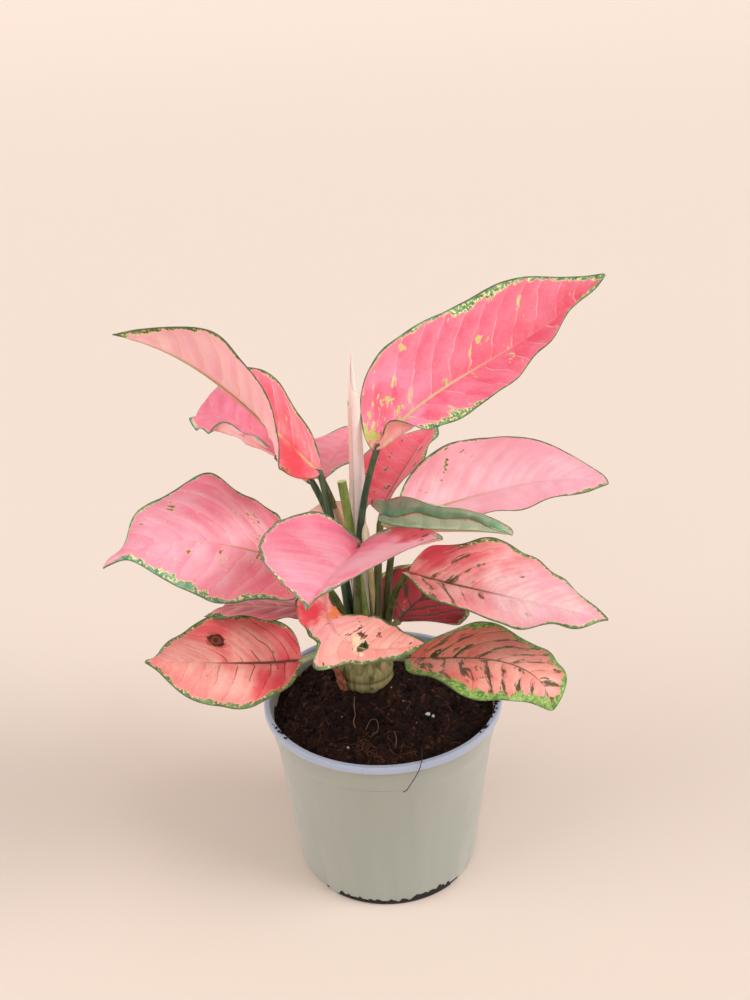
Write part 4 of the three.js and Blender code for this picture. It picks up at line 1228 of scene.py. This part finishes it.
growLeaf(
    name="frontLowLeaf", node="leaf_front_low", slot="red_leaf", seed=16,
    ring="outer", root=-134,
    midrib=[(-24, -25, 172), (-21, -48, 165), (-7, -66, 165), (18, -82, 176)],
    half=(16, 16), taper=0.6, left=[20, 30, 30], right=[0, -20, -30, -10],
    leftShape=[0.2, 0.25, 0.35, 0.42, 0.8, 0.95, 1.05, 1.07, 1.05, 0.86, 0.6],
    rightShape=[1.5, 1.15, 0.9, 0.7, 0.65, 1.15, 0.65, 0.7, 0.65, 0.75, 0.7],
    ragged=0.08, holes=[(52, 0, 2.4)], leftBorder=[0.8], rightBorder=[1.2, 1.6, 1.6],
    skin=dict(coralSkin, flesh=("#f7a698", "#ffd6c4"), edge="#f3a2a0", vein="#c9605a", veinShow=0.3, flecks=1.2,
              fleck="#6b3438", halo=0.2, ribShow=0.12, tint=("#f79cb8", 0.6, 0.6, 0.2),
              marks=[(51, 0, 3.4, "#f6e4bc", 1.2), (46, -2, 2.2, "#f6e4bc", 1.0), (43, -4, 1.3, "#f6e4bc", 0.8),
                     (52, 0, 2.6, "#5a3a20", 0.6), (54, 4, 1.0, "#f6e4bc", 0.6), (18, -6, 6, "#ee8f58", 3.0),
                     (14, 7, 6, "#ea4654", 6.0)]),
)
print("leaves grown")


# The rolled new leaf

def unopenedLeaf(name):
    # new flesh that has not yet coloured: pale, moist and satin, with light sinking into it
    material, add, skin = newMaterial(name)
    place = add("SeparateXYZ", [(add("Attribute", attribute_name="rollPlace"), "Vector")])
    flat = add("CombineXYZ", [(place, "X"), (place, "Y")])
    lengthwise = add("Mapping", {"Vector": flat, "Scale": (0.06, 1, 1)})
    paint = add("Mix", [patches(add, lengthwise, 2.2, 61, 0.36, 0.64), "#ffe9dc", "#fffaf4"])
    blush = add("Math", [patches(add, flat, 18, 62, 0.45, 0.62), 0.2], operation="MULTIPLY")
    paint = add("Mix", [blush, paint, "#f5a79b"])
    seam = add("MapRange", [(place, "Z"), 0.6, 0.2, 0, 0.4])
    paint = add("Mix", [seam, paint, "#a5ab78"])
    plug(skin, {"Base Color": paint, "Roughness": 0.42, "Subsurface Weight": 0.15,
                "Subsurface Radius": (1.0, 0.5, 0.35), "Subsurface Scale": 1.5 * mm})
    return material


spear = dict(
    path=[(-8, 14, 112), (-9, 12, 160), (-8, 12, 215), (-8, 12, 271)],
    radius=3.8,
    turns=2.3,
    outerTop=0.87,  # share of the height where the outer wrap ends
    length=155,
    width=40,  # as it will be unrolled
)
rolled = newGrid("rolledLeaf", 90, 72)
rollPlace = []
for vertex in rolled.data.vertices:
    rise, wrap = vertex.co.x + 0.5, vertex.co.y + 0.5  # wrap 0 is the heart of the roll, 1 the outer edge
    topHere = 1 - (1 - spear["outerTop"]) * smooth(0.42, 0.62, wrap) - 0.035 * smooth(0.6, 1, wrap)
    t = rise * topHere
    centre = onCurve(spear["path"], t)
    body = smooth(-0.2, 0.15, t) * (1 - 0.28 * smooth(0.55, 0.88, t)) * (1 - 0.93 * smooth(0.84, 1.0, t))
    radius = spear["radius"] * (0.42 + 0.58 * smooth(0.1, 0.75, wrap)) * body
    angle = math.radians(-118) - 2 * math.pi * spear["turns"] * (1 - wrap)
    vertex.co = (centre + Vector((math.cos(angle), math.sin(angle), 0)) * radius) * mm
    rollPlace += [t * spear["length"], wrap * spear["width"], min((1 - wrap) * spear["width"], (1 - rise) * 60)]
rolled.data.attributes.new("rollPlace", "FLOAT_VECTOR", "POINT").data.foreach_set("vector", rollPlace)
thicken(rolled, 0.3, offset=0)
bpy.ops.object.shade_smooth()
settle(rolled, "rolled_leaf", "rolled_leaf", unopenedLeaf("unopened_leaf"))


# The cut stalk and the flower bud

def risingRoute(root, bend, end, radii, steps=22):
    # a stalk from the cane that leans towards bend, with its radius along the way
    axis = Vector((cane["centre"][0], cane["centre"][1], 0))
    foot = axis + (Vector((root.x, root.y, 0)) - axis) * 0.7 + Vector((0, 0, root.z - 9))
    route = [(foot, radii[0] * 0.7)]
    for i in range(steps + 1):
        t = i / steps
        point = root * (1 - t) ** 2 + Vector(bend) * (2 * t * (1 - t)) + Vector(end) * t * t
        route.append((point, through(radii, t)))
    return route


stub = roundRods("cutStalk", [risingRoute(rootOf("inner", -68), (-9, -4, 165), (-15, 1, 213),
                                          [3.2, 2.3, 2.1, 2.1, 2.15])], 16)
for face in stub.data.polygons:
    if face.normal.z > 0.8 and face.center.z > 210 * mm:
        face.material_index = 1
# cut flesh is bared and wet, paler and glossier than the skin
settle(stub, "petiole", "cut_petiole", stalkSkin("freshGreenStalkSkin", ("#5b7a30", "#86a04e", "#4a6628"), 71),
       newMaterial("cut_stalk_flesh", {"Base Color": "#b9c987", "Roughness": 0.35})[0])

budStalk = roundRods("budStalk", [risingRoute(rootOf("inner", -23), (-3, 4, 160), (-5, 2, 180),
                                              [2.6, 1.7, 1.5, 1.5])], 12)
settle(budStalk, "bud", "flower_bud", stalkSkin("budStalkSkin", ("#b9a877", "#d3c79a", "#8c9a5a"), 72))
budPath = [(-5, 2, 178.5), (-5, 2, 181), (-5.1, 1.9, 184), (-5.1, 1.9, 187.5), (-5, 2, 190.3)]
bud = roundRods("flowerBud", [[(onCurve(budPath, t / 12), through([1.2, 1.8, 1.9, 1.4, 0.35], t / 12))
                               for t in range(13)]], 16)
# a closed spathe is cream wax: a soft gloss with some light sinking in
settle(bud, "bud", "flower_bud", newMaterial("waxy_bud", {
    "Base Color": "#f1e6cc", "Roughness": 0.4, "Subsurface Weight": 0.2, "Subsurface Scale": 1.5 * mm})[0])


# The dry scale leaf at the cane's foot

scale = dict(usualLeaf, midrib=[(-21, 5, 95.3), (-21.9, 4.3, 100.5), (-22.9, 3.6, 106), (-24, 2.8, 111)],
             half=(4.8, 4.8), widest=0.3, taper=0.4, left=[18], right=[18], seed=80, ragged=0.2)
husk = newGrid("drySheath", 26, 20)
for vertex in husk.data.vertices:
    u, v = vertex.co.x + 0.5, -2 * vertex.co.y
    point, up, width, across, sign = bladePoint(scale, min(max(u, 0.001), 0.999), v)
    crinkle = noise.noise(point / 2.2) * 0.9 + noise.noise(point / 0.9) * 0.3
    vertex.co = (point + up * crinkle) * mm
thicken(husk, 0.3)
bpy.ops.object.shade_smooth()
# the scale is withered and papery: coarser, lighter streaks than the roots', and no gloss
settle(husk, "dry_sheath", "dry_sheath",
       dryFibre("withered_sheath", ("#6b3523", "#a8654a"), 1.2, 3.0, 0.15, 0.75, 0.25))
print("rolled leaf, cut stalk, bud and dry sheath made")

bpy.context.view_layer.update()
